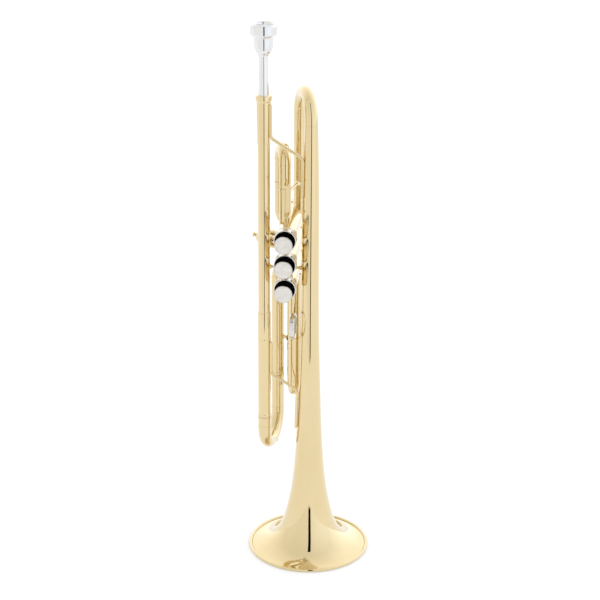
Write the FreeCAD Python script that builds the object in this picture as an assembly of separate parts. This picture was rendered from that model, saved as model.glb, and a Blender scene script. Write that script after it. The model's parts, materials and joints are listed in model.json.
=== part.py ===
import FreeCAD, Part
import math
import os

# Trumpet in millimetres, standing on its bell. The origin is the centre of the bell rim on the floor,
# +Z runs up the bell axis towards the mouthpiece, and the finger buttons point along -Y.

V = FreeCAD.Vector
Z_UP = V(0, 0, 1)
Z_DOWN = V(0, 0, -1)

# Fits and small gaps
RUN = 0.05            # radial clearance of a running fit
GAP = 0.3             # gap between faces of pieces that move apart

# Bell and its return tube
BELL_R = 59.5
BEAD_R = 1.5
BELL_WALL = 0.5
BELL_STEM_Z = 434.0
BELL_STEM_R = 6.3
TAIL_X = -15.5
TAIL_Y = 47.0
TAIL_R = 5.9
TAIL_FERRULE_Z = 345.0

# Leadpipe and main tuning slide
LEAD_X = -44.0
LEAD_R = 5.7
LEAD_BORE = 5.2
RECEIVER_TOP = 461.0
RECEIVER_END = 414.5
JOINT_TOP = 248.0
JOINT_END = 220.0
SLIDE_R = 6.2
SLIDE_BORE = 5.75
UPPER_TUBE_END = 138.5
LOWER_X = -36.5
LOWER_Y = 47.0
LOWER_TUBE_END = 164.0
BOW_SPRING_Z = 126.0
INNER_LEG = 62.0

# Valves
VALVE_X = -21.0
VALVE_Z = (330.5, 306.5, 282.5)
CASING_R = 9.6
CASING_BORE = 8.4
CAP_R = 10.6
CAP_TOP_Y = -30.0
CASING_TOP_Y = -23.0
CASING_END_Y = 64.0
CAP_END_Y = 69.0
STROKE = 12.8
PORT_Y = (47.0, 34.2, 21.4)
PORT_R = 5.0
STEM_R = 2.2
PISTON_TOP_Y = -22.7
PISTON_BODY_Y = 3.2
PISTON_END_Y = 53.5
BUTTON_TOP_Y = -43.0
BUTTON_R = 8.5
FELT = 0.8
RECESS = 3.8

# Valve slides
LEG_R = 5.7
LEG_BORE = 5.25
INNER_WALL = 0.4
S1_NEAR = V(-25.0, 8.0, 0)
S1_FAR = V(-31.8, 30.0, 0)
S1_SPLIT_Z = 370.3
S1_SPRING_Z = 394.0
S1_INNER = 20.0
S2_TILT = 12.0
S2_Y = (25.0, 42.0)
S2_SPLIT = 20.0
S2_SPRING = 22.2
S2_INNER = 9.6
S3_NEAR = V(-16.0, 15.0, 0)
S3_FAR = V(-20.5, 40.0, 0)
S3_NEAR_END = 218.0
S3_FAR_END = 196.0
S3_SPRING_Z = 170.0
S3_INNER = 40.0

# Mouthpiece
MOUTH_TOP = 527.0
MOUTH_R = 12.4
SHANK_R = 4.9
SHANK_END_R = 4.6
SHANK_END = 438.5


def at(point, z):
    """The point of a vertical leg at height z."""
    return V(point.x, point.y, z)


def cyl(start, end, radius):
    """A solid cylinder from start to end."""
    span = end - start
    return Part.makeCylinder(radius, span.Length, start, span)


def tube(start, end, outer, bore):
    """A straight tube."""
    return cyl(start, end, outer).cut(cyl(start, end, bore))


def ring_face(center, normal, outer, bore):
    """A flat ring, or a disc where the bore is 0."""
    wires = [Part.Wire(Part.makeCircle(outer, center, normal))]
    if bore > 0:
        wires.append(Part.Wire(Part.makeCircle(bore, center, normal)))
    return Part.makeFace(wires, "Part::FaceMakerBullseye")


def bent(center, start, bulge, degrees, outer, bore=0):
    """A bent tube that starts at start and turns about center, first heading along bulge."""
    arm = start - center
    axis = arm.cross(bulge).normalize()
    return ring_face(start, bulge, outer, bore).revolve(center, axis, degrees)


def bow(near, far, bulge, outer, bore):
    """A half-circle tube that joins two parallel legs."""
    return bent((near + far) * 0.5, near, bulge, 180, outer, bore)


def revolved(points, base, axis, side):
    """A solid turned from a closed outline of (radius, height) points."""
    corners = [base + side * r + axis * h for r, h in points]
    corners.append(corners[0])
    return Part.Face(Part.makePolygon(corners)).revolve(base, axis, 360)


def join(first, *others):
    """One solid from solids that touch or cross."""
    return first.multiFuse(list(others)).removeSplitter()


def rod(points, radius, bend):
    """A round rod along straight runs with rounded corners and round ends."""
    edges = []
    start = points[0]
    for before, corner, after in zip(points, points[1:], points[2:]):
        back = (before - corner).normalize()
        ahead = (after - corner).normalize()
        half = back.getAngle(ahead) / 2
        reach = bend / math.tan(half)
        middle = corner + (back + ahead).normalize() * (bend / math.sin(half) - bend)
        enter = corner + back * reach
        leave = corner + ahead * reach
        edges.append(Part.LineSegment(start, enter).toShape())
        edges.append(Part.Arc(enter, middle, leave).toShape())
        start = leave
    edges.append(Part.LineSegment(start, points[-1]).toShape())
    profile = Part.Wire(Part.makeCircle(radius, points[0], points[1] - points[0]))
    body = Part.Wire(edges).makePipeShell([profile], True, True)
    return join(body, Part.makeSphere(radius, points[0]), Part.makeSphere(radius, points[-1]))


# Bell

BELL_OUTLINE = ((58.7, 1.9), (53.5, 2.6), (47.0, 4.6), (38.0, 9.3), (31.0, 16.5), (26.2, 26.0), (22.2, 40.0),
                (17.5, 64.0), (14.8, 88.0), (12.5, 122.0), (10.5, 177.0), (9.0, 230.0), (8.2, 330.0),
                (7.1, 405.0), (BELL_STEM_R, BELL_STEM_Z))


def bell_surface_solid():
    """The bell filled in, used to fit what is soldered to its wall."""
    curve = Part.BSplineCurve()
    curve.interpolate([V(r, 0, z) for r, z in BELL_OUTLINE])
    start = V(BELL_OUTLINE[0][0], 0, BELL_OUTLINE[0][1])
    end = V(BELL_STEM_R, 0, BELL_STEM_Z)
    foot = V(0, 0, start.z)
    top = V(0, 0, BELL_STEM_Z)
    edges = [curve.toShape(), Part.makeLine(end, top), Part.makeLine(top, foot), Part.makeLine(foot, start)]
    return Part.Face(Part.Wire(edges)).revolve(V(0, 0, 0), Z_UP, 360)


def bell():
    """The bell from its rim to the top of its stem."""
    outer = Part.BSplineCurve()
    outer.interpolate([V(r, 0, z) for r, z in BELL_OUTLINE])
    inner_points = []
    for r, z in BELL_OUTLINE:
        along = outer.tangent(outer.parameter(V(r, 0, z)))[0]
        inward = V(along.z, 0, -along.x)
        if inward.x > 0:
            inward = inward * -1
        inner_points.append(V(r, 0, z) + inward * BELL_WALL)
    inner_points[-1] = V(BELL_STEM_R - BELL_WALL, 0, BELL_STEM_Z)
    inner = Part.BSplineCurve()
    inner.interpolate(inner_points)
    edges = [outer.toShape(), Part.makeLine(V(BELL_STEM_R, 0, BELL_STEM_Z), inner_points[-1]),
             inner.toShape(), Part.makeLine(inner_points[0], V(BELL_OUTLINE[0][0], 0, BELL_OUTLINE[0][1]))]
    wall = Part.Face(Part.Wire(Part.__sortEdges__(edges)))
    return wall.revolve(V(0, 0, 0), Z_UP, 360).cut(bell_rim_solid())


def bell_rim_solid():
    """The rolled rim, ground flat where the bell stands."""
    center = V(BELL_R - BEAD_R, 0, BEAD_R * 0.85)
    bead = ring_face(center, V(0, 1, 0), BEAD_R, 0).revolve(V(0, 0, 0), Z_UP, 360)
    below = Part.makeCylinder(BELL_R + 5, 5, V(0, 0, -5))
    return bead.cut(below)


def bell_bow():
    """The bell's own tube from its stem over the bow and down to the first valve."""
    stem = V(0, 0, BELL_STEM_Z)
    tail = V(TAIL_X, TAIL_Y, BELL_STEM_Z)
    down = tube(tail, V(TAIL_X, TAIL_Y, VALVE_Z[0]), TAIL_R, LEAD_BORE)
    over = bow(stem, tail, Z_UP, BELL_STEM_R, BELL_STEM_R - BELL_WALL)
    return join(over, down.cut(casing_solid(0)))


def bell_tail_ferrule():
    """The ring over the joint of the bell's return tube."""
    foot = V(TAIL_X, TAIL_Y, TAIL_FERRULE_Z - 3)
    return tube(foot, foot + Z_UP * 3.5, TAIL_R + 0.4, TAIL_R)


# Leadpipe and main slide tubes

def mouthpiece_receiver():
    """The tapered socket that holds the mouthpiece, with its collar."""
    outline = [(7.4, RECEIVER_TOP), (7.6, RECEIVER_TOP - 1), (7.6, RECEIVER_TOP - 5), (6.8, RECEIVER_TOP - 6.2),
               (6.6, RECEIVER_TOP - 20), (6.1, RECEIVER_END + 0.6), (5.9, RECEIVER_END), (LEAD_R, RECEIVER_END),
               (LEAD_R, SHANK_END - 3), (SHANK_END_R + RUN, SHANK_END - 3), (SHANK_END_R + RUN, SHANK_END),
               (SHANK_R + RUN, RECEIVER_TOP)]
    return revolved(outline, V(LEAD_X, 0, 0), Z_UP, V(1, 0, 0))


def leadpipe():
    """The leadpipe from the receiver to its joint with the main slide tube."""
    return tube(V(LEAD_X, 0, SHANK_END - 3), V(LEAD_X, 0, JOINT_TOP - 8), LEAD_R, LEAD_BORE)


def leadpipe_ferrule():
    """The sleeve that joins the leadpipe to the upper slide tube."""
    outline = [(LEAD_R, JOINT_TOP), (LEAD_R + 0.3, JOINT_TOP), (SLIDE_R + 0.05, JOINT_TOP - 1),
               (SLIDE_R + 0.05, JOINT_END + 1), (SLIDE_R + 0.35, JOINT_END + 1), (SLIDE_R + 0.35, JOINT_END),
               (SLIDE_BORE, JOINT_END), (SLIDE_BORE, JOINT_TOP - 8), (LEAD_R, JOINT_TOP - 8)]
    return revolved(outline, V(LEAD_X, 0, 0), Z_UP, V(1, 0, 0))


def slide_tube_upper():
    """The fixed outer tube of the main slide, below the leadpipe."""
    end = V(LEAD_X, 0, UPPER_TUBE_END)
    ferrule = tube(end, end + Z_UP * 3, SLIDE_R + 0.3, SLIDE_BORE)
    return join(tube(V(LEAD_X, 0, JOINT_END), end, SLIDE_R, SLIDE_BORE), ferrule)


ELBOW_R = 14.0


def slide_tube_lower():
    """The fixed outer tube of the main slide's far leg."""
    end = V(LOWER_X, LOWER_Y, LOWER_TUBE_END)
    top = V(LOWER_X, LOWER_Y, VALVE_Z[2] - ELBOW_R - 8)
    ferrule = tube(end, end + Z_UP * 3, SLIDE_R + 0.3, SLIDE_BORE)
    return join(tube(end, top, SLIDE_R, SLIDE_BORE), ferrule)


def valve3_elbow():
    """The elbow that leads from the main slide's far leg into the third valve."""
    foot = V(LOWER_X, LOWER_Y, VALVE_Z[2] - ELBOW_R - 8)
    start = foot + Z_UP * 8
    center = start + V(ELBOW_R, 0, 0)
    turn = bent(center, start, Z_UP, 90, LEG_R, PORT_R)
    collar = tube(foot, start, SLIDE_R + 0.2, PORT_R)
    return join(turn, collar).cut(casing_solid(2))


# Braces

def upper_brace():
    """The bent stay from the receiver to the bell stem."""
    points = [V(-37.3, -3.6, 452), V(-37.3, -3.6, 421.5), V(-6.9, -4.8, 403), V(-7.6, -5.3, 366.6)]
    receiver = cyl(V(LEAD_X, 0, RECEIVER_TOP), V(LEAD_X, 0, RECEIVER_END), 6.8)
    pipe = cyl(V(LEAD_X, 0, RECEIVER_TOP), V(LEAD_X, 0, JOINT_TOP), LEAD_R)
    return rod(points, 1.5, 5).cut(bell_surface_solid()).cut(mouthpiece_receiver()).cut(pipe)


def lower_brace():
    """The bent stay from the upper slide tube to the bell."""
    points = [V(-37.2, -3.3, 217.5), V(-37.2, -3.3, 185), V(-11.4, -5.26, 170), V(-12.5, -5.76, 131)]
    pipe = cyl(V(LEAD_X, 0, JOINT_END), V(LEAD_X, 0, UPPER_TUBE_END), SLIDE_R)
    return rod(points, 1.5, 5).cut(bell_surface_solid()).cut(pipe)


def waisted_post(start, end, waist, flange):
    """A turned post, thin in the middle and spread into a flange at both ends."""
    span = end - start
    length = span.Length
    side = span.cross(Z_UP if abs(span.z) < length / 2 else V(1, 0, 0)).normalize()
    outline = [(0, 0), (flange, 0), (flange, 0.8), (waist, 2.8), (waist, length - 2.8), (flange, length - 0.8),
               (flange, length), (0, length)]
    return revolved(outline, start, span.normalize(), side)


def valve_cross_stay():
    """The stay from the leadpipe to the bell, through the valley between the second and third casings."""
    z = (VALVE_Z[1] + VALVE_Z[2]) / 2
    left = V(LEAD_X + LEAD_R - 0.6, 0, z)
    right = V(-8.0, 0, z)
    valley = cyl(V(VALVE_X - 7, 0, z), V(VALVE_X + 7, 0, z), (VALVE_Z[1] - VALVE_Z[2]) / 2 - CASING_R)
    pipe = cyl(V(LEAD_X, 0, RECEIVER_TOP), V(LEAD_X, 0, JOINT_TOP), LEAD_R)
    stay = join(waisted_post(left, right, 1.4, 2.6), valley)
    return stay.cut(pipe).cut(bell_surface_solid())


def tail_post():
    """The post from the first slide's near tube to the bell's return tube."""
    z = 364.5
    near = at(S1_NEAR, z)
    tail = V(TAIL_X, TAIL_Y, z)
    toward = (tail - near).normalize()
    post = waisted_post(near + toward * (LEG_R - 0.6), tail - toward * (TAIL_R - 0.6), 1.6, 3.0)
    legs = [cyl(near - Z_UP * 8, near + Z_UP * 8, LEG_R), cyl(tail - Z_UP * 8, tail + Z_UP * 8, TAIL_R)]
    return post.cut(legs[0]).cut(legs[1])


def leg_post():
    """The post from the main slide's far tube to the third slide's far tube."""
    z = 205.0
    low = V(LOWER_X, LOWER_Y, z)
    third = at(S3_FAR, z)
    toward = (third - low).normalize()
    post = waisted_post(low + toward * (SLIDE_R - 0.8), third - toward * (LEG_R - 0.8), 1.5, 3.6)
    legs = [cyl(low - Z_UP * 8, low + Z_UP * 8, SLIDE_R), cyl(third - Z_UP * 8, third + Z_UP * 8, LEG_R)]
    return post.cut(legs[0]).cut(legs[1])


# Valves

def valve_point(index, y):
    """The point of a valve's axis at depth y."""
    return V(VALVE_X, y, VALVE_Z[index])


def casing_solid(index):
    """A casing filled in, used to fit the tubes that meet it."""
    return cyl(valve_point(index, CASING_TOP_Y), valve_point(index, CASING_END_Y), CASING_R)


def port_bore(start, end):
    """The hole that a port makes through a casing wall."""
    return cyl(start, end, PORT_R)


def casing_ports(index):
    """The holes through one casing wall, on the sides where its tubes arrive."""
    z = VALVE_Z[index]
    ports = []
    if index == 0:
        ports.append(port_bore(V(TAIL_X, TAIL_Y, z), V(TAIL_X, TAIL_Y, z + 15)))
        ports.append(port_bore(at(S1_NEAR, z), at(S1_NEAR, z + 15)))
        ports.append(port_bore(V(VALVE_X - 15, S1_FAR.y, z), V(VALVE_X, S1_FAR.y, z)))
    if index == 1:
        for y in S2_Y:
            ports.append(port_bore(V(VALVE_X, y, z), s2_point(y, 14)))
    if index == 2:
        ports.append(port_bore(V(VALVE_X - 15, LOWER_Y, z), V(VALVE_X, LOWER_Y, z)))
        for leg in (S3_NEAR, S3_FAR):
            ports.append(port_bore(at(leg, z - 15), at(leg, z)))
    if index < 2:
        ports.append(port_bore(V(VALVE_X, PORT_Y[index + 1], z - 15), V(VALVE_X, PORT_Y[index + 1], z)))
    if index > 0:
        ports.append(port_bore(V(VALVE_X, PORT_Y[index], z), V(VALVE_X, PORT_Y[index], z + 15)))
    return ports


def casing(index):
    """One valve casing with its ports."""
    wall = tube(valve_point(index, CASING_TOP_Y), valve_point(index, CASING_END_Y), CASING_R, CASING_BORE)
    for port in casing_ports(index):
        wall = wall.cut(port)
    return wall


def valve_knuckles():
    """The short tubes that carry the air from casing to casing."""
    knuckles = []
    for index in (0, 1):
        y = PORT_Y[index + 1]
        top = V(VALVE_X, y, VALVE_Z[index] - 6)
        end = V(VALVE_X, y, VALVE_Z[index + 1] + 6)
        knuckle = tube(top, end, PORT_R + 0.8, PORT_R)
        knuckles.append(knuckle.cut(casing_solid(index)).cut(casing_solid(index + 1)))
    return Part.makeCompound([knuckle.Solids[0] for knuckle in knuckles])


def turned_y(index, outline):
    """A solid turned about a valve's axis from (radius, y) points."""
    return revolved(outline, V(VALVE_X, 0, VALVE_Z[index]), V(0, 1, 0), V(1, 0, 0))


def top_cap(index):
    """The cap over a casing, hollowed for its felt and bored for the stem."""
    floor = CAP_TOP_Y + RECESS
    skirt = CASING_TOP_Y + 4
    return turned_y(index, [
        (STEM_R + RUN, floor), (CAP_R - 1.3, floor), (CAP_R - 1.3, CAP_TOP_Y + 0.4), (CAP_R - 0.9, CAP_TOP_Y),
        (CAP_R - 0.3, CAP_TOP_Y), (CAP_R, CAP_TOP_Y + 0.5), (CAP_R, skirt), (CASING_R, skirt),
        (CASING_R, CASING_TOP_Y), (STEM_R + RUN, CASING_TOP_Y)])


def bottom_cap(index):
    """The cap under a casing, with its knob and air hole."""
    skirt = CASING_END_Y - 4
    inside = PISTON_END_Y + STROKE + 0.5
    return turned_y(index, [
        (CASING_R, skirt), (CAP_R, skirt), (CAP_R, CAP_END_Y - 1.5), (CAP_R - 1.5, CAP_END_Y),
        (4.2, CAP_END_Y), (3.6, CAP_END_Y + 2.2), (1.5, CAP_END_Y + 2.2), (1.5, inside), (CASING_BORE, inside),
        (CASING_BORE, CASING_END_Y), (CASING_R, CASING_END_Y)])


def cap_felts():
    """The black felts in the three top caps."""
    floor = CAP_TOP_Y + RECESS
    felts = [tube(valve_point(i, floor - FELT), valve_point(i, floor), CAP_R - 1.3, STEM_R + 0.5) for i in range(3)]
    return Part.makeCompound(felts)


def guide_bar(index, width, reach):
    """The cross bar of a valve guide, at its fixed place in the casing."""
    y = PISTON_BODY_Y - 3.4
    corner = V(VALVE_X - reach, y, VALVE_Z[index] - width / 2)
    return Part.makeBox(2 * reach, 2.4, width, corner)


def valve_guides():
    """The guides that keep the three pistons from turning."""
    guides = []
    for index in range(3):
        ring = cyl(valve_point(index, PISTON_BODY_Y - 3.4), valve_point(index, PISTON_BODY_Y - 1.0), 6.0)
        bar = guide_bar(index, 3.0, CASING_BORE).common(casing_bore_solid(index))
        guides.append(join(ring, bar))
    return Part.makeCompound([guide.Solids[0] for guide in guides])


def casing_bore_solid(index):
    """The space inside a casing."""
    return cyl(valve_point(index, CASING_TOP_Y), valve_point(index, CASING_END_Y), CASING_BORE)


def piston(index):
    """A hollow piston: a slotted spring barrel over a body with three cross passages."""
    radius = CASING_BORE - RUN
    barrel = tube(valve_point(index, PISTON_TOP_Y), valve_point(index, PISTON_BODY_Y), 7.6, 7.0)
    lid = cyl(valve_point(index, PISTON_TOP_Y), valve_point(index, PISTON_TOP_Y + 1.2), 7.6)
    shell = tube(valve_point(index, PISTON_BODY_Y), valve_point(index, PISTON_END_Y), radius, radius - 0.6)
    discs = [cyl(valve_point(index, y), valve_point(index, y + 1.0), radius)
             for y in (PISTON_BODY_Y, PISTON_END_Y - 1.0)]
    body = join(shell, *discs)
    filled = cyl(valve_point(index, PISTON_BODY_Y), valve_point(index, PISTON_END_Y), radius)
    for y in PORT_Y:
        across = V(VALVE_X, y, VALVE_Z[index])
        body = join(body, cyl(across - Z_UP * 12, across + Z_UP * 12, PORT_R + 0.6).common(filled))
    for y in PORT_Y:
        across = V(VALVE_X, y, VALVE_Z[index])
        body = body.cut(cyl(across - Z_UP * 12, across + Z_UP * 12, PORT_R))
    slot = Part.makeBox(40, STROKE + 3.2, 3.6, V(VALVE_X - 20, PISTON_BODY_Y - 3.4 - STROKE - 0.5, VALVE_Z[index] - 1.8))
    return join(barrel.cut(slot), lid, body)


def button(index):
    """A finger button on its stem."""
    under = BUTTON_TOP_Y + 3.0
    return turned_y(index, [
        (0, BUTTON_TOP_Y + 1.8), (BUTTON_R - 0.8, BUTTON_TOP_Y + 1.8), (BUTTON_R - 0.7, BUTTON_TOP_Y + 0.4),
        (BUTTON_R - 0.2, BUTTON_TOP_Y + 0.5), (BUTTON_R, BUTTON_TOP_Y + 1.1), (BUTTON_R - 0.6, under - 0.4),
        (BUTTON_R - 1.6, under), (STEM_R, under), (STEM_R, PISTON_TOP_Y), (0, PISTON_TOP_Y)])


def pearl(index):
    """The inlay of a finger button."""
    radius = BUTTON_R - 0.8
    return turned_y(index, [
        (0, BUTTON_TOP_Y), (radius - 1.4, BUTTON_TOP_Y + 0.1), (radius - 0.4, BUTTON_TOP_Y + 0.5),
        (radius, BUTTON_TOP_Y + 1.0), (radius, BUTTON_TOP_Y + 1.8), (0, BUTTON_TOP_Y + 1.8)])


SPRING_WIRE = 0.45
SPRING_R = 5.6
SPRING_TURNS = 7


def valve_spring(index):
    """A coil spring between the guide and the lid of the piston's barrel."""
    low = PISTON_TOP_Y + 1.2 + SPRING_WIRE
    high = PISTON_BODY_Y - 3.4 - SPRING_WIRE - 0.05
    length = high - low - 0.05
    helix = Part.makeHelix(length / SPRING_TURNS, length, SPRING_R)
    profile = Part.Wire(Part.makeCircle(SPRING_WIRE, V(SPRING_R, 0, 0), V(0, 1, 0)))
    coil = Part.Wire(helix.Edges).makePipeShell([profile], True, True)
    coil.rotate(V(0, 0, 0), V(1, 0, 0), -90)
    coil.translate(V(VALVE_X, low + 0.05, VALVE_Z[index]))
    return coil


# Water keys

KEY_ARM = 1.6
PAD_R = 3.2


def key_pivot(leg, spring_z):
    """The hinge point of a water key, behind the far leg of its bow."""
    return V(leg.x, leg.y + LEG_R + 4.2, spring_z - 6)


def key_pad(near, far, spring_z):
    """The centre of the drain seat under a bow, and the direction it faces."""
    center = (at(near, spring_z) + at(far, spring_z)) * 0.5
    along = (far - near).normalize()
    return center, (Z_DOWN * math.cos(math.radians(25)) + along * math.sin(math.radians(25))).normalize()


def drain_seat(near, far, spring_z, outer):
    """The drain nipple under a bow, with its bore."""
    center, face = key_pad(near, far, spring_z)
    radius = (far - near).Length / 2
    return cyl(center + face * (radius + outer - 0.8), center + face * (radius + outer + 1.8), 2.6)


def key_saddle(leg, spring_z, outer):
    """Two lugs and a pin on the back of a leg, for a water key to turn on."""
    pivot = key_pivot(leg, spring_z)
    lugs = []
    for side in (-1, 1):
        corner = V(pivot.x + side * 3.0 - 0.6, leg.y + outer * 0.6, pivot.z - 2.2)
        lugs.append(Part.makeBox(1.2, pivot.y + 1.8 - corner.y, 4.4, corner))
    pin = cyl(pivot - V(3.6, 0, 0), pivot + V(3.6, 0, 0), 0.9)
    return join(lugs[0], lugs[1], pin)


def water_key(near, far, spring_z, outer):
    """A water key: a hinge sleeve, an arm to the pad's cup and a thumb plate."""
    pivot = key_pivot(far, spring_z)
    center, face = key_pad(near, far, spring_z)
    radius = (far - near).Length / 2
    cup = center + face * (radius + outer + 4.6)
    out = (V(0, pivot.y, pivot.z) - V(0, center.y, center.z)).normalize()
    corner = center + (face + out).normalize() * (radius + outer + 8.5)
    arm = rod([pivot, corner, cup + face * 2.0], KEY_ARM, 4)
    cup_disc = cyl(cup, cup + face * 1.4, PAD_R)
    lever = rod([pivot, pivot + V(0, 1.6, 8), pivot + V(0, 3.0, 24)], KEY_ARM, 4)
    plate = Part.makeBox(8, 1.4, 14, pivot + V(-4, 2.0, 16))
    sleeve = cyl(pivot - V(2.2, 0, 0), pivot + V(2.2, 0, 0), 2.3)
    hole = cyl(pivot - V(3, 0, 0), pivot + V(3, 0, 0), 0.9 + RUN)
    return join(arm, cup_disc, lever, plate, sleeve).cut(hole)


def key_cork(near, far, spring_z, outer):
    """The cork of a water key, just clear of the drain seat."""
    center, face = key_pad(near, far, spring_z)
    radius = (far - near).Length / 2
    seat = center + face * (radius + outer + 1.9)
    return cyl(seat, center + face * (radius + outer + 4.6), PAD_R - 0.4)


# Main tuning slide

TUNE_NEAR = V(LEAD_X, 0, 0)
TUNE_FAR = V(LOWER_X, LOWER_Y, 0)


def sleeve(leg, top, end, outer, bore):
    """A moving leg from its collar at the top down to the bow."""
    collar = tube(at(leg, top - 2.5), at(leg, top), outer + 0.3, bore)
    lower = tube(at(leg, end), at(leg, end + 2.5), outer + 0.3, bore)
    return join(tube(at(leg, end), at(leg, top), outer, bore), collar, lower)


def tuning_bow():
    """The bow of the main tuning slide with its legs, drain seat and key saddle."""
    near = sleeve(TUNE_NEAR, UPPER_TUBE_END - GAP, BOW_SPRING_Z, SLIDE_R, LEAD_BORE)
    far = sleeve(TUNE_FAR, LOWER_TUBE_END - GAP, BOW_SPRING_Z, SLIDE_R, LEAD_BORE)
    turn = bow(at(TUNE_NEAR, BOW_SPRING_Z), at(TUNE_FAR, BOW_SPRING_Z), Z_DOWN, SLIDE_R, LEAD_BORE)
    seat = drain_seat(TUNE_NEAR, TUNE_FAR, BOW_SPRING_Z, SLIDE_R)
    saddle = key_saddle(TUNE_FAR, BOW_SPRING_Z, SLIDE_R)
    air = bow(at(TUNE_NEAR, BOW_SPRING_Z), at(TUNE_FAR, BOW_SPRING_Z), Z_DOWN, LEAD_BORE, 0)
    leg_air = cyl(at(TUNE_FAR, BOW_SPRING_Z), at(TUNE_FAR, LOWER_TUBE_END - GAP), LEAD_BORE)
    return join(near, far, turn, seat, saddle).cut(air).cut(leg_air)


def inner_tubes(legs, tops, ends, outer):
    """The inner tubes of a slide, one for each leg."""
    solids = [tube(at(leg, end), at(leg, top), outer, outer - INNER_WALL)
              for leg, top, end in zip(legs, tops, ends)]
    return Part.makeCompound(solids)


def tuning_inner_tubes():
    """The long inner tubes of the main tuning slide."""
    ends = (UPPER_TUBE_END - GAP, LOWER_TUBE_END - GAP)
    tops = [end + INNER_LEG for end in ends]
    return inner_tubes((TUNE_NEAR, TUNE_FAR), tops, ends, SLIDE_BORE - RUN)


# First valve slide

def slide1_tube_near():
    """The fixed tube of the first slide that meets the front of the casing."""
    foot = at(S1_NEAR, VALVE_Z[0])
    end = at(S1_NEAR, S1_SPLIT_Z)
    ferrule = tube(end - Z_UP * 2.5, end, LEG_R + 0.3, LEG_BORE)
    return join(tube(foot, end, LEG_R, LEG_BORE), ferrule).cut(casing_solid(0))


def slide1_tube_far():
    """The fixed tube of the first slide that bends into the side of the casing."""
    turn_r = 11.0
    start = at(S1_FAR, VALVE_Z[0] + turn_r)
    end = at(S1_FAR, S1_SPLIT_Z)
    turn = bent(start + V(turn_r, 0, 0), start, Z_DOWN, 90, LEG_R, LEG_BORE)
    ferrule = tube(end - Z_UP * 2.5, end, LEG_R + 0.3, LEG_BORE)
    return join(turn, tube(start, end, LEG_R, LEG_BORE), ferrule).cut(casing_solid(0))


def slide1_bow():
    """The moving bow of the first slide."""
    legs = []
    for leg in (S1_NEAR, S1_FAR):
        top = at(leg, S1_SPRING_Z)
        low = at(leg, S1_SPLIT_Z + GAP)
        collar = tube(top - Z_UP * 2.5, top, LEG_R + 0.3, LEG_BORE)
        legs.append(join(tube(low, top, LEG_R, LEG_BORE), collar))
    turn = bow(at(S1_NEAR, S1_SPRING_Z), at(S1_FAR, S1_SPRING_Z), Z_UP, LEG_R, LEG_BORE)
    return join(turn, legs[0], legs[1])


def slide1_inner_tubes():
    """The inner tubes of the first slide."""
    top = S1_SPLIT_Z + GAP
    return inner_tubes((S1_NEAR, S1_FAR), (top, top), (top - S1_INNER, top - S1_INNER), LEG_BORE - RUN)


def thumb_saddle():
    """The open saddle that the thumb pushes the first slide with."""
    x = -24.5
    width = 5.5
    low = 347.0
    high = 379.0
    depth = 14.0
    wall = 1.4
    back = S1_NEAR.y - LEG_R - 0.8
    outer = Part.makeBox(width, depth, high - low, V(x, back - depth, low))
    inner = Part.makeBox(width + 2, depth, high - low - 2 * wall, V(x - 1, back - depth - wall, low + wall))
    corners = [edge for edge in outer.Edges
               if edge.BoundBox.XLength > width - 0.1 and abs(edge.BoundBox.YMax - back) < 0.1]
    rounded = outer.makeFillet(5.0, corners)
    inner_corners = [edge for edge in inner.Edges
                     if edge.BoundBox.XLength > width + 1.9 and abs(edge.BoundBox.YMax - back + wall) < 0.1]
    strip = rounded.cut(inner.makeFillet(5.0 - wall, inner_corners))
    foot = Part.makeBox(4, 3.5, 5.5, V(S1_NEAR.x - 0.5, back - 0.4, S1_SPLIT_Z + 1))
    leg = cyl(at(S1_NEAR, S1_SPLIT_Z), at(S1_NEAR, S1_SPLIT_Z + 12), LEG_R)
    return join(strip, foot.cut(leg))


# Second valve slide

S2_OUT = V(-math.cos(math.radians(S2_TILT)), 0, math.sin(math.radians(S2_TILT)))


def s2_point(y, out):
    """The point of a second slide leg at a distance out from the valve's axis."""
    return V(VALVE_X, y, VALVE_Z[1]) + S2_OUT * out


def slide2_tubes():
    """The two short fixed tubes of the second slide."""
    tubes = [tube(s2_point(y, 0), s2_point(y, S2_SPLIT), LEG_R, LEG_BORE).cut(casing_solid(1)) for y in S2_Y]
    return Part.makeCompound([solid.Solids[0] for solid in tubes])


def slide2_bow():
    """The moving bow of the second slide."""
    legs = [tube(s2_point(y, S2_SPLIT + GAP), s2_point(y, S2_SPRING), LEG_R, LEG_BORE) for y in S2_Y]
    collars = [tube(s2_point(y, S2_SPLIT + GAP), s2_point(y, S2_SPLIT + 2), LEG_R + 0.3, LEG_BORE) for y in S2_Y]
    near = s2_point(S2_Y[0], S2_SPRING)
    far = s2_point(S2_Y[1], S2_SPRING)
    return join(bow(near, far, S2_OUT, LEG_R, LEG_BORE), *legs, *collars)


def slide2_inner_tubes():
    """The inner tubes of the second slide."""
    outer = LEG_BORE - RUN
    start = S2_SPLIT + GAP - S2_INNER
    tubes = [tube(s2_point(y, start), s2_point(y, S2_SPLIT + GAP), outer, outer - INNER_WALL) for y in S2_Y]
    return Part.makeCompound(tubes)


def slide2_knob():
    """The pull knob on the second slide's bow."""
    middle = (S2_Y[0] + S2_Y[1]) / 2
    reach = S2_SPRING + (S2_Y[1] - S2_Y[0]) / 2 + LEG_R
    base = s2_point(middle, 0)
    side = V(0, 1, 0)
    outline = [(0, reach - 1.2), (1.5, reach - 1.2), (1.3, reach + 0.6), (2.4, reach + 1.2), (2.6, reach + 2.2),
               (1.8, reach + 2.8), (0, reach + 2.8)]
    knob = revolved(outline, base, S2_OUT, side)
    near = s2_point(S2_Y[0], S2_SPRING)
    far = s2_point(S2_Y[1], S2_SPRING)
    return knob.cut(bow(near, far, S2_OUT, LEG_R, 0))


# Third valve slide

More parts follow.
